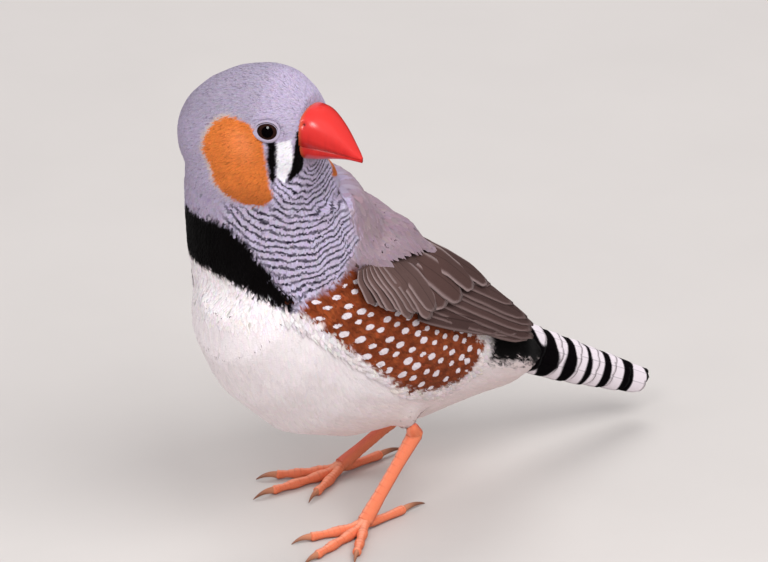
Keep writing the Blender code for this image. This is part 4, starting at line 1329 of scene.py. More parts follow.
def cape_height(y, angle, z):
    """How high the mantle stands over the body at a distance along it, an angle round it and a height."""
    tall = (2.9 - 0.7 * ease(0, 8, y)) * ease(-11.0, -2.0, y)
    height = tall * (1 - 0.85 * ease(46, 74, angle)) - 0.8
    # Fuller between the shoulders
    height += 2.3 * ease(-12.5, -7.5, y) * ease(9, 2, y) * ease(50, 62, angle)
    # Sunk below its edge over the wing, towards the rump, and where it meets the neck
    height -= 1.3 * (1 - ease(cape_edge(y) - 10, cape_edge(y) + 3, angle)) + 2.4 * ease(8, 15, y)
    height -= 1.2 * ease(-9.5, -12, y) + 2.6 * ease(52, 56, z)
    return height


def mantle_cape(form, side):
    """The form that the soft feathers of the mantle follow over the folded wing."""
    rows = 40
    columns = 30
    grid = np.zeros((rows + 1, columns + 1, 3))
    for row in range(rows + 1):
        y = -12.0 + 29.0 * row / rows
        for column in range(columns + 1):
            angle = 26.0 + 66.0 * column / columns
            centre = on_body(form, side, y, angle)[0]
            grid[row, column] = settle(form, centre, cape_height(y, angle, centre.z))
    return grid_surface(grid, np.array((side * 1.0, 0.0, 0.8)))


def grid_surface(grid, outward):
    """A Surface from a grid of points; outward gives roughly the way it faces."""
    rows, columns, _ = grid.shape
    along = np.gradient(grid, axis=0)
    across = np.gradient(grid, axis=1)
    normals = unit(np.cross(along, across))
    normals = np.where((normals * outward).sum(-1, keepdims=True) < 0, -normals, normals)
    index = np.arange(rows * columns).reshape(rows, columns)
    a, b, c, d = (part.ravel() for part in (index[:-1, :-1], index[:-1, 1:], index[1:, 1:], index[1:, :-1]))
    triangles = np.vstack((np.stack((a, b, c), 1), np.stack((a, c, d), 1)))
    return Surface(grid.reshape(-1, 3), normals.reshape(-1, 3), triangles)


def build_wing(side, seed):
    """One folded wing: the arm and its tiers of feathers, and the form of the mantle over it."""
    form = shapes["form"]
    draw = np.random.default_rng(seed)
    wing = VaneSet()
    shapes.setdefault("capes", []).append(mantle_cape(form, side))
    brown = COVERT_BROWN * 0.8
    wing.add(*wing_pad(form, side), brown, brown)
    for count, first, last, tips, widths, lift, rows, outline, colour, rim in WING_TIERS:
        for index in range(count):
            t = index / (count - 1)
            root = np.array(first) + (np.array(last) - np.array(first)) * t
            tip = three_point(tips, t) + draw.uniform(-1, 1, 2) * (0.7, 1.8)
            width = (widths[0] + (widths[1] - widths[0]) * t) * draw.uniform(0.92, 1.08)
            top, low = folded_vane(form, side, root, tip, width, lift, rows, outline, draw)
            vane_colour = colour * draw.uniform(0.88, 1.12)
            wing.add(top, low, vane_colour, rim * draw.uniform(0.9, 1.08))
    label = "left" if side > 0 else "right"
    wing.finish("wing_feathers_" + label, shapes["flight_material"], ["wing_" + label])


# Tail

TAIL_ROOT = Vector((1.95, 37.0, 14.2))
TAIL_TIP = Vector((4.3, 56.0, 5.4))
# White bands: their places along the tail, half their width, and how far they slant back at the sides
TAIL_BANDS = (-3.7, 0.8, 5.1, 8.6, 12.7, 17.6)
BAND_HALF = 1.38
BAND_SLANT = 0.1
# Upper coverts lie as shingles on a rounded shell: tip, angle of the outer ones, count, height, width
TAIL_COVERTS = (
    (19.9, 84, 5, 0.00, 3.4), (16.4, 88, 6, 0.12, 3.6), (12.8, 92, 6, 0.24, 3.6),
    (9.2, 95, 6, 0.36, 3.8), (5.4, 98, 7, 0.48, 3.9), (1.6, 98, 7, 0.60, 3.9), (-2.2, 98, 7, 0.72, 3.8),
)
COVERT_LENGTH = 9.5
# The shell: distance along the tail, half width and height above the tail's own line
SHELL = (
    (-14.0, 4.9, 3.2), (-8.0, 3.9, 2.8), (-2.0, 2.9, 2.2), (6.0, 2.4, 1.8), (14.0, 2.2, 1.4),
    (20.5, 1.9, 0.8),
)
SHELL_FLOOR = ((-14.0, -0.6), (-4.0, -0.9), (6.0, -1.1), (20.5, -1.3))
# Undertail coverts: tip, spread to each side, count, height and width
UNDER_COVERTS = (
    (10.5, 1.1, 4, -1.9, 3.0), (6.5, 1.4, 4, -2.1, 3.3), (2.5, 1.7, 4, -2.3, 3.6), (-1.5, 2.0, 4, -2.5, 3.9),
)


def tail_axes():
    """Directions along the tail, across it and up from it."""
    along = (TAIL_TIP - TAIL_ROOT).normalized()
    across = along.cross(Vector((0, 0, 1))).normalized()
    return np.array(along), np.array(across), np.array(across.cross(along))


def tail_vane(start, length, offsets, lift, width, roll, outline, droop=0.0):
    """Top and underside of a straight tail feather, rolled about its own length."""
    along, across, up = tail_axes()

    def one_row(t):
        offset = offsets[0] + (offsets[1] - offsets[0]) * t
        centre = np.array(TAIL_ROOT) + along * (start + (length - start) * t) + across * offset
        centre = centre + up * (lift + droop * t)
        half = width / 2 * float(read_outline(outline, t))
        pairs = []
        for a in VANE_PLACES:
            rise = half * a * roll - 0.12 * half * a * a + shaft_rise(a, 0.04)
            at = centre + across * (half * a) + up * rise - along * (0.3 * half * round_tip(a, t, 0.85))
            edge = up * vane_edge(a, 0.08)
            pairs.append((at + edge, at - edge))
        return pairs

    return two_sided(26, one_row)


def band_marks(points):
    """White bands across the upper tail coverts, rounded at their lower ends."""
    along, across, _ = tail_axes()
    offset = points - np.array(TAIL_ROOT)
    distance = offset @ along
    aside = np.abs(offset @ across)
    spot = np.full(len(points), NO_SPOT)
    for band in TAIL_BANDS:
        run = (distance - band - BAND_SLANT * (aside - 1.2)) / BAND_HALF
        reach = np.maximum(aside - 1.4, 0) / 2.0
        spot = np.minimum(spot, np.sqrt(run ** 2 + reach ** 3))
    zero = np.zeros(len(points))
    return np.stack((zero, zero, spot), 1)


def shell_vane(tip, middle, height, width):
    """Top and underside of a covert that hugs the rounded shell over the tail."""
    along, across, up = tail_axes()
    places, halves, tops = zip(*SHELL)

    def one_row(t):
        distance = tip - COVERT_LENGTH * (1 - t)
        half = width / 2 * float(read_outline(COVERT_OUTLINE, t))
        pairs = []
        for a in VANE_PLACES:
            run = distance - 0.35 * half * round_tip(a, t, 0.8)
            wide = float(np.interp(run, places, halves))
            high = float(np.interp(run, places, tops))
            floor = float(read_table(SHELL_FLOOR, run))
            angle = math.radians(middle) + half * a / wide
            out = across * math.sin(angle) + up * math.cos(angle)
            base = across * (wide * math.sin(angle)) + up * (floor + (high - floor) * math.cos(angle))
            rise = height + 0.16 * t + shaft_rise(a, 0.03) - 0.1 * a * a
            centre = np.array(TAIL_ROOT) + along * run + base
            pairs.append((centre + out * rise, centre + out * (rise - vane_edge(a, 0.09))))
        return pairs

    return two_sided(18, one_row)


def build_tail(seed):
    """Twelve tail feathers, the barred coverts over them and the white ones below."""
    draw = np.random.default_rng(seed)
    full = (TAIL_TIP - TAIL_ROOT).length
    tail = VaneSet()
    for side in (-1, 1):
        for rank in range(6):
            length = full - 0.6 - 0.5 * rank - draw.uniform(0, 0.3)
            lift = -0.14 * rank + (0.07 if side > 0 else 0)
            shade = TAIL_BLACK + (TAIL_GREY - TAIL_BLACK) * (0.15 + 0.17 * rank)
            offsets = (side * (0.2 + 0.08 * rank), side * (0.4 + 0.14 * rank))
            top, low = tail_vane(-5.0, length, offsets, lift, 2.5, -side * 0.2, FLIGHT_OUTLINE)
            tail.add(top, low, shade, shade * 1.5)
    tail.finish("tail_feathers", shapes["flight_material"], ["tail"])
    coverts = VaneSet()
    for tip, spread, count, height, width in TAIL_COVERTS:
        for around in np.linspace(-1, 1, count):
            end = tip - 0.8 * abs(around) + draw.uniform(-0.3, 0.3)
            top, low = shell_vane(end, around * spread, height - 0.1 * abs(around), width)
            coverts.add(top, low, TAIL_BLACK, TAIL_BLACK * 1.3, band_marks)
    coverts.finish("tail_coverts", shapes["flight_material"])
    under = VaneSet()
    for tip, spread, count, lift, width in UNDER_COVERTS:
        for around in np.linspace(-1, 1, count):
            length = tip * (1 - 0.05 * abs(around)) + draw.uniform(-0.3, 0.3)
            offsets = (around * 1.2, around * spread)
            height = lift + 0.35 * abs(around) ** 1.5
            top, low = tail_vane(
                length - 12.0, length, offsets, height, width, around * 0.3, COVERT_OUTLINE,
                droop=-0.3 * lift,
            )
            white = BELLY * draw.uniform(0.92, 1.0)
            under.add(top, low, white, white)
    under.finish("undertail_coverts", shapes["down_material"])


# Bill

# Sections of the bill: distance forward, height of its ridge, its cutting edge and its floor, half width,
# and how full its sides are
BILL_SECTIONS = (
    (10.3, 6.0, 1.1, -1.9, 3.9, 0.50), (11.2, 5.9, 1.0, -1.8, 3.75, 0.50),
    (12.6, 5.65, 0.85, -1.6, 3.45, 0.52), (14.2, 4.65, 0.6, -1.25, 2.85, 0.58),
    (15.8, 3.1, 0.25, -1.0, 2.15, 0.66), (17.2, 1.4, -0.2, -0.95, 1.35, 0.74),
    (18.2, 0.15, -0.55, -1.1, 0.7, 0.74), (18.7, -0.45, -0.7, -1.2, 0.26, 0.74),
)
BILL_ROWS = 60
BILL_ARC = 40
MOUTH_GAP = 0.06
LOWER_NARROWER = 0.93
LOWER_FULLNESS = 0.8
# Nostrils: distance forward and height, and radius
NOSTRIL = (11.35, 4.0)
NOSTRIL_SIZE = 0.36
NOSTRIL_DEPTH = 0.3


def smooth_table(table, place_in):
    """Reads the columns of a table at a place of its first column, on a smooth curve."""
    table = np.array(table, float)
    first = table[:, 0]
    slope = np.gradient(table[:, 1:], first, axis=0)
    index = int(np.clip(np.searchsorted(first, place_in) - 1, 0, len(first) - 2))
    span = first[index + 1] - first[index]
    t = (place_in - first[index]) / span
    second = 3 * t ** 2 - 2 * t ** 3
    values = (1 - second) * table[index, 1:] + second * table[index + 1, 1:]
    leaving = (t ** 3 - 2 * t ** 2 + t) * slope[index]
    arriving = (t ** 3 - t ** 2) * slope[index + 1]
    return values + span * (leaving + arriving)


def nostril_distance(forward, up):
    """Distance from the middle of a nostril over its radius."""
    return np.hypot(forward - NOSTRIL[0], (up - NOSTRIL[1]) * 0.9) / NOSTRIL_SIZE


def bill_rings(upper):
    """Half rings of one half of the bill from the face to its tip, in the head's frame."""
    rings = []
    start = BILL_SECTIONS[0][0]
    end = BILL_SECTIONS[-1][0]
    for row in range(BILL_ROWS + 1):
        forward = start + (end - start) * (1 - (1 - row / BILL_ROWS) ** 1.3)
        ridge, edge, floor, half_width, fullness = smooth_table(BILL_SECTIONS, forward)
        middle = edge + (MOUTH_GAP / 2 if upper else -MOUTH_GAP / 2)
        height = ridge - middle if upper else floor - middle
        width = half_width if upper else half_width * LOWER_NARROWER
        power = fullness if upper else LOWER_FULLNESS
        ring = []
        for step in range(BILL_ARC + 1):
            angle = math.pi * step / BILL_ARC
            across = width * math.cos(angle)
            level = height * max(math.sin(angle), 0) ** power
            up = middle + level
            # The cutting edge turns in a little, and each nostril is a shallow pit
            inset = 0.05 * math.exp(-((level / max(abs(height), 0.1)) / 0.07) ** 2)
            across -= math.copysign(inset, across)
            if upper:
                pit = NOSTRIL_DEPTH * math.exp(-nostril_distance(forward, up) ** 4)
                across -= math.copysign(pit, across)
            ring.append((forward, across, up))
        rings.append(ring)
    return np.array(rings)


def loft_faces(levels, around, closed=True):
    """Quads between rings of points, each ring closed or not."""
    faces = []
    span = around if closed else around - 1
    for level in range(levels - 1):
        for step in range(span):
            a = level * around + step
            b = level * around + (step + 1) % around
            faces.append((a, b, b + around, a + around))
    return faces


def capped_loft(levels, around):
    """Quads between closed rings of points, and one face over each end."""
    last = (levels - 1) * around
    ends = [tuple(range(around))[::-1], tuple(range(last, last + around))]
    return loft_faces(levels, around) + ends


def bill_horn(red):
    """Bill horn: grown in thin layers that wear smooth, so it is glossy and deep red, paler and more orange
    at its base against the face. The upper half is painted lighter towards its ridge as a painted highlight,
    and the nostril pits are painted dark as painted shade.
    """
    material, node, shader = new_material(
        "bill_keratin_polished", Roughness=0.3, IOR=1.54, Coat_Weight=0.9, Coat_Roughness=0.24,
        Subsurface_Weight=0.12, Subsurface_Scale=0.0008, Subsurface_Radius=(1.0, 0.25, 0.15),
    )
    along = node("Attribute", output=1, attribute_name="bill_place")
    forward, level, pit = node("SeparateXYZ", (along,), THREE)
    clouds = node("TexNoise", {"Vector": along, "Scale": 1.1, "Detail": 4.0})
    colour = paint(node, red, linear("#C8201E"), (clouds, 0.35, 0.75))
    # Painted highlight: the upper half is painted lighter towards its ridge
    colour = paint(node, colour, linear("#E63A36"), (level, 0.2, 0.9))
    from_face = node("Math.MULTIPLY_ADD", (clouds, 0.8, forward))
    colour = paint(node, colour, linear("#C8643C"), (from_face, 11.9, 10.9))
    # Painted shade: the nostril pits are painted dark
    colour = paint(node, colour, linear("#6A1A18"), (pit, 0.5, 1.0))
    drawn_out = node("VectorMath.MULTIPLY", (along, (0.5, 6.0, 1.0)))
    lines = node("TexNoise", {"Vector": drawn_out, "Scale": 2.0, "Detail": 3.0})
    dress(node, shader, colour, lines, 0.15, 0.08)
    return material


def build_bill(colours):
    material = bill_horn(tuple(colours.bill))
    for upper, name in ((True, "bill_upper"), (False, "bill_lower")):
        rings = bill_rings(upper)
        levels, around, _ = rings.shape
        flat = rings.reshape(-1, 3)
        faces = capped_loft(levels, around)
        if not upper:
            faces = [face[::-1] for face in faces]
        obj = piece(name + "_horn", from_head(flat), faces, material, [name])
        ridge, edge = np.array([smooth_table(BILL_SECTIONS, value)[:2] for value in flat[:, 0]]).T
        level = np.clip((flat[:, 2] - edge) / np.maximum(ridge - edge, 0.1), -1, 1)
        pit = np.exp(-nostril_distance(flat[:, 0], flat[:, 2]) ** 2) * upper
        store(obj.data, "bill_place", "FLOAT_VECTOR", np.stack((flat[:, 0], level, pit), 1))


# Eyes and lids

# Width of the beads of the lid's skin
LID_BEAD = 0.1923


def axis_frame(axis):
    """Two directions square to the axis: towards the bill, and up."""
    ahead = unit(HEAD_AXES[0] - axis * (HEAD_AXES[0] @ axis))
    up = np.cross(axis, ahead)
    if up[2] < 0:
        up = -up
    return ahead, up


def eye_surface():
    """A wet cornea over a nearly black pupil with a dark brown iris round it: a sharp small highlight."""
    material, node, shader = new_material(
        "cornea_over_dark_iris", Roughness=0.05, IOR=1.376, Coat_Weight=0.5, Coat_Roughness=0.03,
    )
    gaze = node("Attribute", output=1, attribute_name="gaze")
    angle, turn, _ = node("SeparateXYZ", (gaze,), THREE)
    inwards = node("Math.MULTIPLY", (angle, 0.04))
    radial = node("CombineXYZ", (turn, inwards))
    fibres = node("TexNoise", {"Vector": radial, "Scale": 9.0, "Detail": 3.0})
    iris = paint(node, linear("#180C09"), linear("#38231D"), fibres)
    colour = paint(node, linear("#050304"), iris, (angle, 23.0, 25.5))
    colour = paint(node, colour, linear("#0A0606"), (angle, 39.0, 43.0))
    dress(node, shader, colour)
    return material


def lid_skin():
    """Bare lid skin: finely beaded and dull, pale lavender grey, with painted shade as a dark line just
    beyond it on its upper half and as a dark free edge where it meets the eye.
    """
    material, node, shader = new_material(
        "bare_lid_skin", Roughness=0.55, IOR=1.4, Subsurface_Weight=0.15, Subsurface_Scale=0.0004,
        Subsurface_Radius=(1.0, 0.5, 0.4),
    )
    lid = node("Attribute", output=1, attribute_name="lid")
    outward, above, _ = node("SeparateXYZ", (lid,), THREE)
    beads = node("TexVoronoi", {"Scale": cells(LID_BEAD)})
    tone = paint(node, linear("#C9BDD2"), linear("#A599AE"), (beads, 0.2, 0.7))
    # Painted shade: a dark line just beyond the lid's ring, on its upper half
    beyond = node("Math.SUBTRACT", (outward, 0.55))
    from_painted_shade_line = node("Math.ABSOLUTE", (beyond,))
    tone = paint(node, tone, linear("#3A3038"), (from_painted_shade_line, 0.12, 0.05), (above, 0.1, 0.6))
    # Painted shade: the free edge of the lid, where it meets the eye, is painted dark
    tone = paint(node, tone, linear("#2A1C20"), (outward, 0.17, 0.1))
    dress(node, shader, tone, beads, 0.4, 0.05)
    return material


def build_eyes(sizes):
    cornea = eye_surface()
    bare_skin = lid_skin()
    for side, name, centre in zip((1, -1), ("left", "right"), eye_centres()):
        axis = eye_axis(side)
        ahead, up = axis_frame(axis)
        build_eyeball(name, centre, axis, ahead, up, cornea)
        build_lid(name, centre, axis, ahead, up, sizes.lid_opening / MM, bare_skin)


def build_eyeball(name, centre, axis, ahead, up, material):
    around = 64
    levels = 36
    points = []
    gaze = []
    for level in range(levels + 1):
        tilt = math.pi * (0.002 + 0.996 * level / levels)
        for step in range(around):
            turn = math.tau * step / around
            out = ahead * math.cos(turn) + up * math.sin(turn)
            points.append(centre + (axis * math.cos(tilt) + out * math.sin(tilt)) * EYE_RADIUS)
            gaze.append((math.degrees(tilt), turn, 0))
    faces = capped_loft(levels + 1, around)
    if np.cross(ahead, up) @ axis > 0:
        faces = [face[::-1] for face in faces]
    obj = piece("eyeball_" + name, np.array(points), faces, material, ["eye_" + name])
    store(obj.data, "gaze", "FLOAT_VECTOR", np.array(gaze))


# The lid from its free edge outwards: distance beyond the opening, height over the eye and then the head
LID_PROFILE = (
    (0.10, -0.30), (0.0, 0.0), (0.03, 0.06), (0.07, 0.09), (0.13, 0.09), (0.21, 0.04), (0.30, -0.08),
    (0.42, -0.32), (0.6, -0.9),
)


def build_lid(name, centre, axis, ahead, up, opening, material):
    """The lids as one almond ring that closes on the eye, pointed at the rear."""
    around = 72
    points = []
    place_on_lid = []
    for step in range(around):
        turn = math.tau * step / around
        rear = max(0.0, -math.cos(turn))
        reach = opening * (0.86 + 0.14 * math.cos(turn) ** 2 + 0.14 * rear ** 5)
        out = ahead * math.cos(turn) + up * math.sin(turn)
        for index, (beyond, height) in enumerate(LID_PROFILE):
            away = reach + beyond * (1 + 0.5 * rear ** 4)
            on_eye = math.sqrt(max(EYE_RADIUS ** 2 - away ** 2, 0.1))
            start = centre + out * away
            hit, _, _, _ = shapes["form"].tree.ray_cast(Vector(start + axis * 6), Vector(-axis))
            on_head = float((np.array(hit) - start) @ axis)
            share = ease(0.0, 0.5, beyond)
            points.append(start + axis * (on_eye + (on_head - on_eye) * share + height))
            place_on_lid.append((index / (len(LID_PROFILE) - 1), math.sin(turn), -math.cos(turn)))
    per = len(LID_PROFILE)
    faces = loft_faces(around, per, closed=False)
    last = (around - 1) * per
    faces += [(last + step, last + step + 1, step + 1, step) for step in range(per - 1)]
    # The underside closes the ring from its outer edge to its free one
    for step in range(around):
        a = step * per
        b = ((step + 1) % around) * per
        faces.append((a, a + per - 1, b + per - 1, b))
    if np.cross(ahead, up) @ axis > 0:
        faces = [face[::-1] for face in faces]
    obj = piece("eyelid_" + name, np.array(points), faces, material)
    store(obj.data, "lid", "FLOAT_VECTOR", np.array(place_on_lid))


# Legs

# Legs: where the foot and the ankle stand, which side is outward, and how far the toes turn out
LEGS = {
    "left": {"foot": (9.0, -4.0), "ankle": (8.5, 6.0, 11.9), "outward": 1, "turn": 14.0},
    "right": {"foot": (-8.3, 6.8), "ankle": (-8.3, 19.0, 6.4), "outward": -1, "turn": 5.0},
}
FOOT_BASE = 1.5
# The top of the shank inside the thigh: distance from the ankle, and radius
SHANK_TOP = ((2.6, 0.5), (2.2, 0.8), (1.5, 0.95), (0.7, 1.02))
# Radius down the shank, from the ankle at 0 to the foot at 1
SHANK_RADII = ((0, 1.15), (0.12, 1.05), (0.35, 0.90), (0.7, 0.92), (0.9, 1.05), (1, 1.1))
# Toes: length, angle, joints and length of the claw
TOES = {
    "inner": (8.6, -30, 2, 2.6),
    "middle": (12.2, 0, 3, 3.0),
    "outer": (9.4, 27, 3, 2.6),
    "hind": (8.2, 172, 1, 4.2),
}
TOE_HEIGHT = 0.70
TOE_RADIUS = 0.75
# Length of the horny plates along the shank and the toes, and widths of the finer patterns
SCUTE = 1.15
TOE_SCUTE = 0.85
NO_SCUTE = 99.0
LEG_MOTTLE = 0.7143
LEG_GRAIN = 0.2778
CLAW_GRAIN = 0.4


def tube_points(path, radii, around, flatten, shape):
    """Rings round a path, square to it. shape(index, angle) scales the radius; angle 0 is up or forward."""
    rings = []
    guide = None
    for index, point in enumerate(path):
        along = unit(path[min(index + 1, len(path) - 1)] - path[max(index - 1, 0)])
        if guide is None:
            guide = np.array((0, 0, 1.0)) if abs(along[2]) < 0.6 else np.array((0, -1.0, 0))
        guide = unit(guide - along * (guide @ along))
        side = np.cross(along, guide)
        ring = []
        for angle in np.linspace(0, math.tau, around, endpoint=False):
            radius = radii[index] * shape(index, angle)
            out = guide * (radius * math.cos(angle)) + side * (radius * flatten * math.sin(angle))
            ring.append(point + out)
        rings.append(ring)
    return np.array(rings)


def scute_profile(distance, pitch, angle, depth):
    """Plates on the front and fine pads behind: how they scale the radius, and the groove between plates."""
    front = max(0.0, math.cos(angle))
    phase = distance / pitch - math.floor(distance / pitch)
    plate = (phase ** 2) * depth - depth * math.exp(-(phase / 0.10) ** 2)
    back = max(0.0, -math.cos(angle))
    fine = math.sin(distance / 0.45 * math.tau) * math.cos(angle * 9) * 0.02
    return 1 + plate * front ** 0.5 + fine * back, math.exp(-((phase - 0.04) / 0.09) ** 2) * front ** 0.5


def scaled_tube(path, radii, around, pitch, depth, flatten=1.0, start=0):
    """A closed tube with horny plates: points, faces numbered from start, and place on the leg."""
    path = np.array(path, float)
    steps = np.linalg.norm(np.diff(path, axis=0), axis=1)
    distance = np.concatenate(([0], np.cumsum(steps)))
    grooves = []

    def shape(index, angle):
        scale, groove = scute_profile(distance[index], pitch, angle, depth)
        grooves.append(groove)
        return scale

    points = tube_points(path, radii, around, flatten, shape).reshape(-1, 3)
    points[:, 2] = np.maximum(points[:, 2], 0)
    faces = [tuple(index + start for index in face) for face in capped_loft(len(path), around)]
    angles = np.tile(np.linspace(0, math.tau, around, endpoint=False), len(path))
    return points, faces, np.stack((np.repeat(distance, around), np.cos(angles), np.array(grooves)), 1)


def toe_path(base, heading, length, joints):
    """Path and radii of a toe that leaves the foot in an arch and swells at its joints."""
    steps = 64
    path = []
    radii = []
    for step in range(steps + 1):
        t = step / steps
        distance = length * t
        arch = 0.8 * math.exp(-distance / 1.6)
        swell = 1 + 0.13 * math.cos(math.tau * joints * t)
        path.append(base + heading * distance + np.array((0, 0, TOE_HEIGHT + arch)))
        close = 1.0 if t < 0.96 else math.sqrt(max(0.0, 1 - ((t - 0.96) / 0.045) ** 2))
        radii.append(TOE_RADIUS * swell * (1 - 0.22 * t) * max(close, 0.45))
    return path, radii


def claw_path(start, heading, length):
    """Path and radii of a claw that curves down to the ground."""
    steps = 20
    path = []
    radii = []
    for step in range(steps + 1):
        t = step / steps
        drop = -0.12 * t + 0.9 * t * (1 - t) - 0.42 * t * t
        path.append(start + heading * (length * t - 0.5) + np.array((0, 0, drop)))
        radii.append(0.50 * (1 - t) ** 0.75 + 0.04)
    return path, radii


def leg_horn(orange):
    """Horny plates over skin: waxy orange, paler on each plate and redder in the grooves."""
    material, node, shader = new_material(
        "leg_scale_horn", Roughness=0.42, IOR=1.5, Coat_Weight=0.15, Coat_Roughness=0.3,
        Subsurface_Weight=0.15, Subsurface_Scale=0.0006, Subsurface_Radius=(1.0, 0.35, 0.2),
    )
    _, front, groove = node("SeparateXYZ", (node("Attribute", output=1, attribute_name="plate"),), THREE)
    mottle = node("TexNoise", {"Scale": cells(LEG_MOTTLE), "Detail": 4.0})
    colour = paint(node, orange, linear("#F8906A"), (mottle, 0.3, 0.75))
    colour = paint(node, colour, linear("#FFA484"), (front, 0.7, 1.0))
    colour = paint(node, colour, linear("#C65734"), groove, 0.4)
    colour = paint(node, colour, linear("#E2725A"), (front, -0.5, -1.0))
    grain = node("TexVoronoi", {"Scale": cells(LEG_GRAIN)})
    dress(node, shader, colour, grain, 0.35, 0.06)
    return material


def claw_horn():
    """Claw horn: smooth and a little glossy, brownish orange at the root and darker to the tip."""
    material, node, shader = new_material(
        "claw_horn_translucent", Roughness=0.35, IOR=1.54, Coat_Weight=0.2, Coat_Roughness=0.2,
    )
    run, _, _ = node("SeparateXYZ", (node("Attribute", output=1, attribute_name="plate"),), THREE)
    grain = node("TexNoise", {"Scale": cells(CLAW_GRAIN), "Detail": 2.0})
    tone = paint(node, linear("#D58E6C"), linear("#8C5E4A"), (run, 0.3, 3.0))
    tone = paint(node, tone, linear("#A8745A"), grain, 0.4)
    dress(node, shader, tone)
    return material


def build_legs(colours):
    plates = leg_horn(tuple(colours.leg))
    horn = claw_horn()
    for label, leg in LEGS.items():
        build_leg(label, leg, plates, horn)


def build_leg(label, leg, plates, horn):
    """A shank and its toes as one piece, and each claw as its own."""
    foot = np.array((*leg["foot"], 0.0))
    base = foot + np.array((0, 0, FOOT_BASE))
    ankle = np.array(leg["ankle"])
    steps = 110
    thigh = unit(unplace([box_middle("thigh_" + label)])[0] - ankle)
    path = [ankle + thigh * reach for reach, _ in SHANK_TOP]
    path += [ankle + (base - ankle) * step / steps for step in range(steps + 1)]
    radii = [radius for _, radius in SHANK_TOP]
    radii += [float(read_table(SHANK_RADII, step / steps)) for step in range(steps + 1)]
    parts = [scaled_tube(path, radii, 28, SCUTE, 0.06, flatten=0.85)]
    for toe, (length, angle, joints, claw_length) in TOES.items():
        turn = math.radians(leg["turn"] + angle) * leg["outward"]
        heading = np.array((math.sin(turn), -math.cos(turn), 0.0))
        path, radii = toe_path(foot, heading, length, joints)
        start = sum(len(part[0]) for part in parts)
        parts.append(scaled_tube(path, radii, 22, TOE_SCUTE, 0.08, start=start))
        claw, claw_radii = claw_path(path[-1] + heading * 0.3, heading, claw_length + 0.5)
        points, faces, place_on = scaled_tube(claw, claw_radii, 14, NO_SCUTE, 0.0, flatten=0.7)
        name = "claw_" + label + "_" + toe
        obj = piece(name + "_horn", points, faces, horn, [name])
        store(obj.data, "plate", "FLOAT_VECTOR", place_on)
    points, faces, place_on = zip(*parts)
    nodes = ["shank_" + label, "foot_" + label]
    obj = piece("leg_" + label, np.vstack(points), sum(faces, []), plates, nodes)
    store(obj.data, "plate", "FLOAT_VECTOR", np.vstack(place_on))


# Stage

# The camera: where it looks from, its lens and sensor, and the size of the bird in the picture
CAMERA_AZIMUTH = 48.0
CAMERA_ELEVATION = 22.0
LENS = 400.0
SENSOR = 36.0
PHOTO_WIDTH = 768
PIXELS_PER_MM = 7.1
# Centre of the view in the bird's frame: across the picture, up it and towards the camera
VIEW_CENTRE = (5.73, 31.79, 12.0)


def camera_axes():
    """Directions to the right of the picture, up it and towards the camera."""
    turn = math.radians(CAMERA_AZIMUTH)
    tilt = math.radians(CAMERA_ELEVATION)
    right = Vector((math.cos(turn), math.sin(turn), 0))
    away = Vector((-math.sin(turn), math.cos(turn), 0))
    up = away * math.sin(tilt) + Vector((0, 0, 1)) * math.cos(tilt)
    return right, up, right.cross(up)


def build_camera():
    """The camera of the photo: a long lens, level with the far side of the bird's back."""
    right, up, towards = camera_axes()
    centre = (right * VIEW_CENTRE[0] + up * VIEW_CENTRE[1] + towards * VIEW_CENTRE[2]) * MM + SHIFT
    distance = PHOTO_WIDTH / PIXELS_PER_MM * MM * LENS / SENSOR
    data = bpy.data.cameras.new("camera")
    data.lens = LENS
    data.sensor_width = SENSOR
    data.clip_end = 20
    camera = add_object("camera", data)
    turn = Matrix((right, up, towards)).transposed().to_4x4()
    camera.matrix_world = Matrix.Translation(centre + towards * distance) @ turn
    bpy.context.scene.camera = camera


# Lamps: name, azimuth and elevation it shines from, distance, size, watts
LAMPS = (
    ("key", 84.0, 50.0, 0.6, 0.5, 2.4),
    ("fill", -5.0, 32.0, 0.8, 0.8, 1.6),
    ("rim", 225.0, 45.0, 0.7, 0.4, 2.0),
    ("catch", 34.0, 37.0, 0.5, 0.16, 0.5),
)
# Half the floor's width in metres, and the width in millimetres of its roller texture
FLOOR_HALF = 3.0
ROLLER_GRAIN = 3.846
# The soft lamps, the floor and the sky don't show in the wet eye
UNREFLECTED = ("key", "fill", "rim")


def build_lamps():
    """Large soft lamps, and a small one for the highlight in the eye."""
    focus = Vector((0, -5, 35)) * MM
    for name, azimuth, elevation, distance, size, watts in LAMPS:
        turn = math.radians(azimuth)
        tilt = math.radians(elevation)
        towards = Vector((
            math.sin(turn) * math.cos(tilt), -math.cos(turn) * math.cos(tilt), math.sin(tilt),
        ))
        data = bpy.data.lights.new(name, "AREA")
        data.energy = watts
        data.size = size
        data.shape = "DISK"
        lamp = add_object(name, data)
        lamp.location = focus + towards * distance
        lamp.visible_glossy = name not in UNREFLECTED
        lamp.rotation_euler = towards.to_track_quat("Z", "Y").to_euler()


def build_floor(colours):
    """A sanded, painted board: dull, with a faint roller texture."""
    material, node, shader = new_material("matt_painted_board", Roughness=0.85, IOR=1.45)
    grain = node("TexNoise", {"Scale": cells(ROLLER_GRAIN), "Detail": 5.0})
    pale = tuple(colours.floor)
    tone = paint(node, pale, tuple(value * 0.94 for value in pale), grain)
    dress(node, shader, tone, grain, 0.1, 0.2)
    mesh = bpy.data.meshes.new("floor")
    corners = [(x * FLOOR_HALF, y * FLOOR_HALF, 0) for x, y in ((-1, -1), (1, -1), (1, 1), (-1, 1))]
    mesh.from_pydata(corners, [], [(0, 1, 2, 3)])
    mesh.materials.append(material)
    floor = add_object("floor", mesh)
    floor.visible_glossy = False


def build_world():
    world = bpy.data.worlds.new("soft_studio")
    world.use_nodes = True
    background = world.node_tree.nodes["Background"]
    background.inputs["Color"].default_value = (*linear("#F2F0F6"), 1)
    background.inputs["Strength"].default_value = 0.48
    bpy.context.scene.world = world
    world.cycles_visibility.glossy = False
    bpy.context.scene.view_settings.view_transform = "Standard"


# Operators and panel

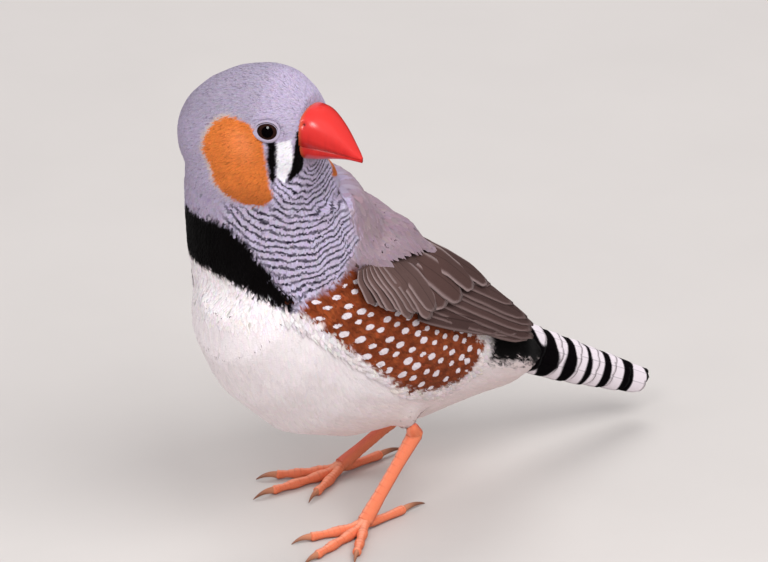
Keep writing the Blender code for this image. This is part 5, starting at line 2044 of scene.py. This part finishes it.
class FINCH_OT_materials(bpy.types.Operator):
    """Make the feather materials that several pieces share"""
    bl_idname = "finch.materials"
    bl_label = "Feather materials"

    def execute(self, context):
        for key, (*values, more) in PLUMAGE.items():
            shapes[key + "_material"] = plumage_material(*values, **more)
        return {"FINISHED"}


class FINCH_OT_skin(bpy.types.Operator):
    """Make one skin over the torso, neck, head and thighs"""
    bl_idname = "finch.skin"
    bl_label = "Skin"

    def execute(self, context):
        build_skin(context.scene.finch_sizes)
        return {"FINISHED"}


class FINCH_OT_coat(bpy.types.Operator):
    """Lay the small feathers of the head, neck, belly and back"""
    bl_idname = "finch.coat"
    bl_label = "Coat"

    def execute(self, context):
        seed = context.scene.finch_sizes.seed
        build_head_coat(seed)
        build_neck_coat(seed)
        build_body_coat(seed)
        return {"FINISHED"}


class FINCH_OT_wings(bpy.types.Operator):
    """Fold both wings, feather by feather"""
    bl_idname = "finch.wings"
    bl_label = "Wings"

    def execute(self, context):
        seed = context.scene.finch_sizes.seed
        for side in (1, -1):
            build_wing(side, seed + 20 + side)
        return {"FINISHED"}


class FINCH_OT_tail(bpy.types.Operator):
    """Make the tail feathers and their coverts"""
    bl_idname = "finch.tail"
    bl_label = "Tail"

    def execute(self, context):
        build_tail(context.scene.finch_sizes.seed + 40)
        return {"FINISHED"}


class FINCH_OT_bill(bpy.types.Operator):
    """Make both halves of the bill"""
    bl_idname = "finch.bill"
    bl_label = "Bill"

    def execute(self, context):
        build_bill(context.scene.finch_colours)
        return {"FINISHED"}


class FINCH_OT_eyes(bpy.types.Operator):
    """Make the eyes and their lids"""
    bl_idname = "finch.eyes"
    bl_label = "Eyes"

    def execute(self, context):
        build_eyes(context.scene.finch_sizes)
        return {"FINISHED"}


class FINCH_OT_legs(bpy.types.Operator):
    """Make the shanks, toes and claws"""
    bl_idname = "finch.legs"
    bl_label = "Legs"

    def execute(self, context):
        build_legs(context.scene.finch_colours)
        return {"FINISHED"}


class FINCH_OT_stage(bpy.types.Operator):
    """Make the floor, the lamps and the camera"""
    bl_idname = "finch.stage"
    bl_label = "Stage"

    def execute(self, context):
        build_floor(context.scene.finch_colours)
        build_lamps()
        build_world()
        build_camera()
        return {"FINISHED"}


STEPS = (
    FINCH_OT_materials, FINCH_OT_skin, FINCH_OT_coat, FINCH_OT_wings, FINCH_OT_tail, FINCH_OT_bill,
    FINCH_OT_eyes, FINCH_OT_legs, FINCH_OT_stage,
)


class FINCH_PT_panel(bpy.types.Panel):
    bl_label = "Zebra finch"
    bl_space_type = "VIEW_3D"
    bl_region_type = "UI"
    bl_category = "Finch"

    def draw(self, context):
        for group in (context.scene.finch_sizes, context.scene.finch_colours):
            for name in group.bl_rna.properties.keys():
                if name not in ("rna_type", "name"):
                    self.layout.prop(group, name)
        for step in STEPS:
            self.layout.operator(step.bl_idname)


CLASSES = (FinchSizes, FinchColours, *STEPS, FINCH_PT_panel)


def register():
    for item in CLASSES:
        bpy.utils.register_class(item)
    bpy.types.Scene.finch_sizes = bpy.props.PointerProperty(type=FinchSizes)
    bpy.types.Scene.finch_colours = bpy.props.PointerProperty(type=FinchColours)


def unregister():
    del bpy.types.Scene.finch_sizes
    del bpy.types.Scene.finch_colours
    for item in reversed(CLASSES):
        bpy.utils.unregister_class(item)


def main():
    """Builds the bird and its stage in order."""
    register()
    bpy.ops.finch.materials()
    bpy.ops.finch.skin()
    bpy.ops.finch.wings()
    bpy.ops.finch.coat()
    bpy.ops.finch.tail()
    bpy.ops.finch.bill()
    bpy.ops.finch.eyes()
    bpy.ops.finch.legs()
    bpy.ops.finch.stage()


if __name__ == "__main__":
    main()
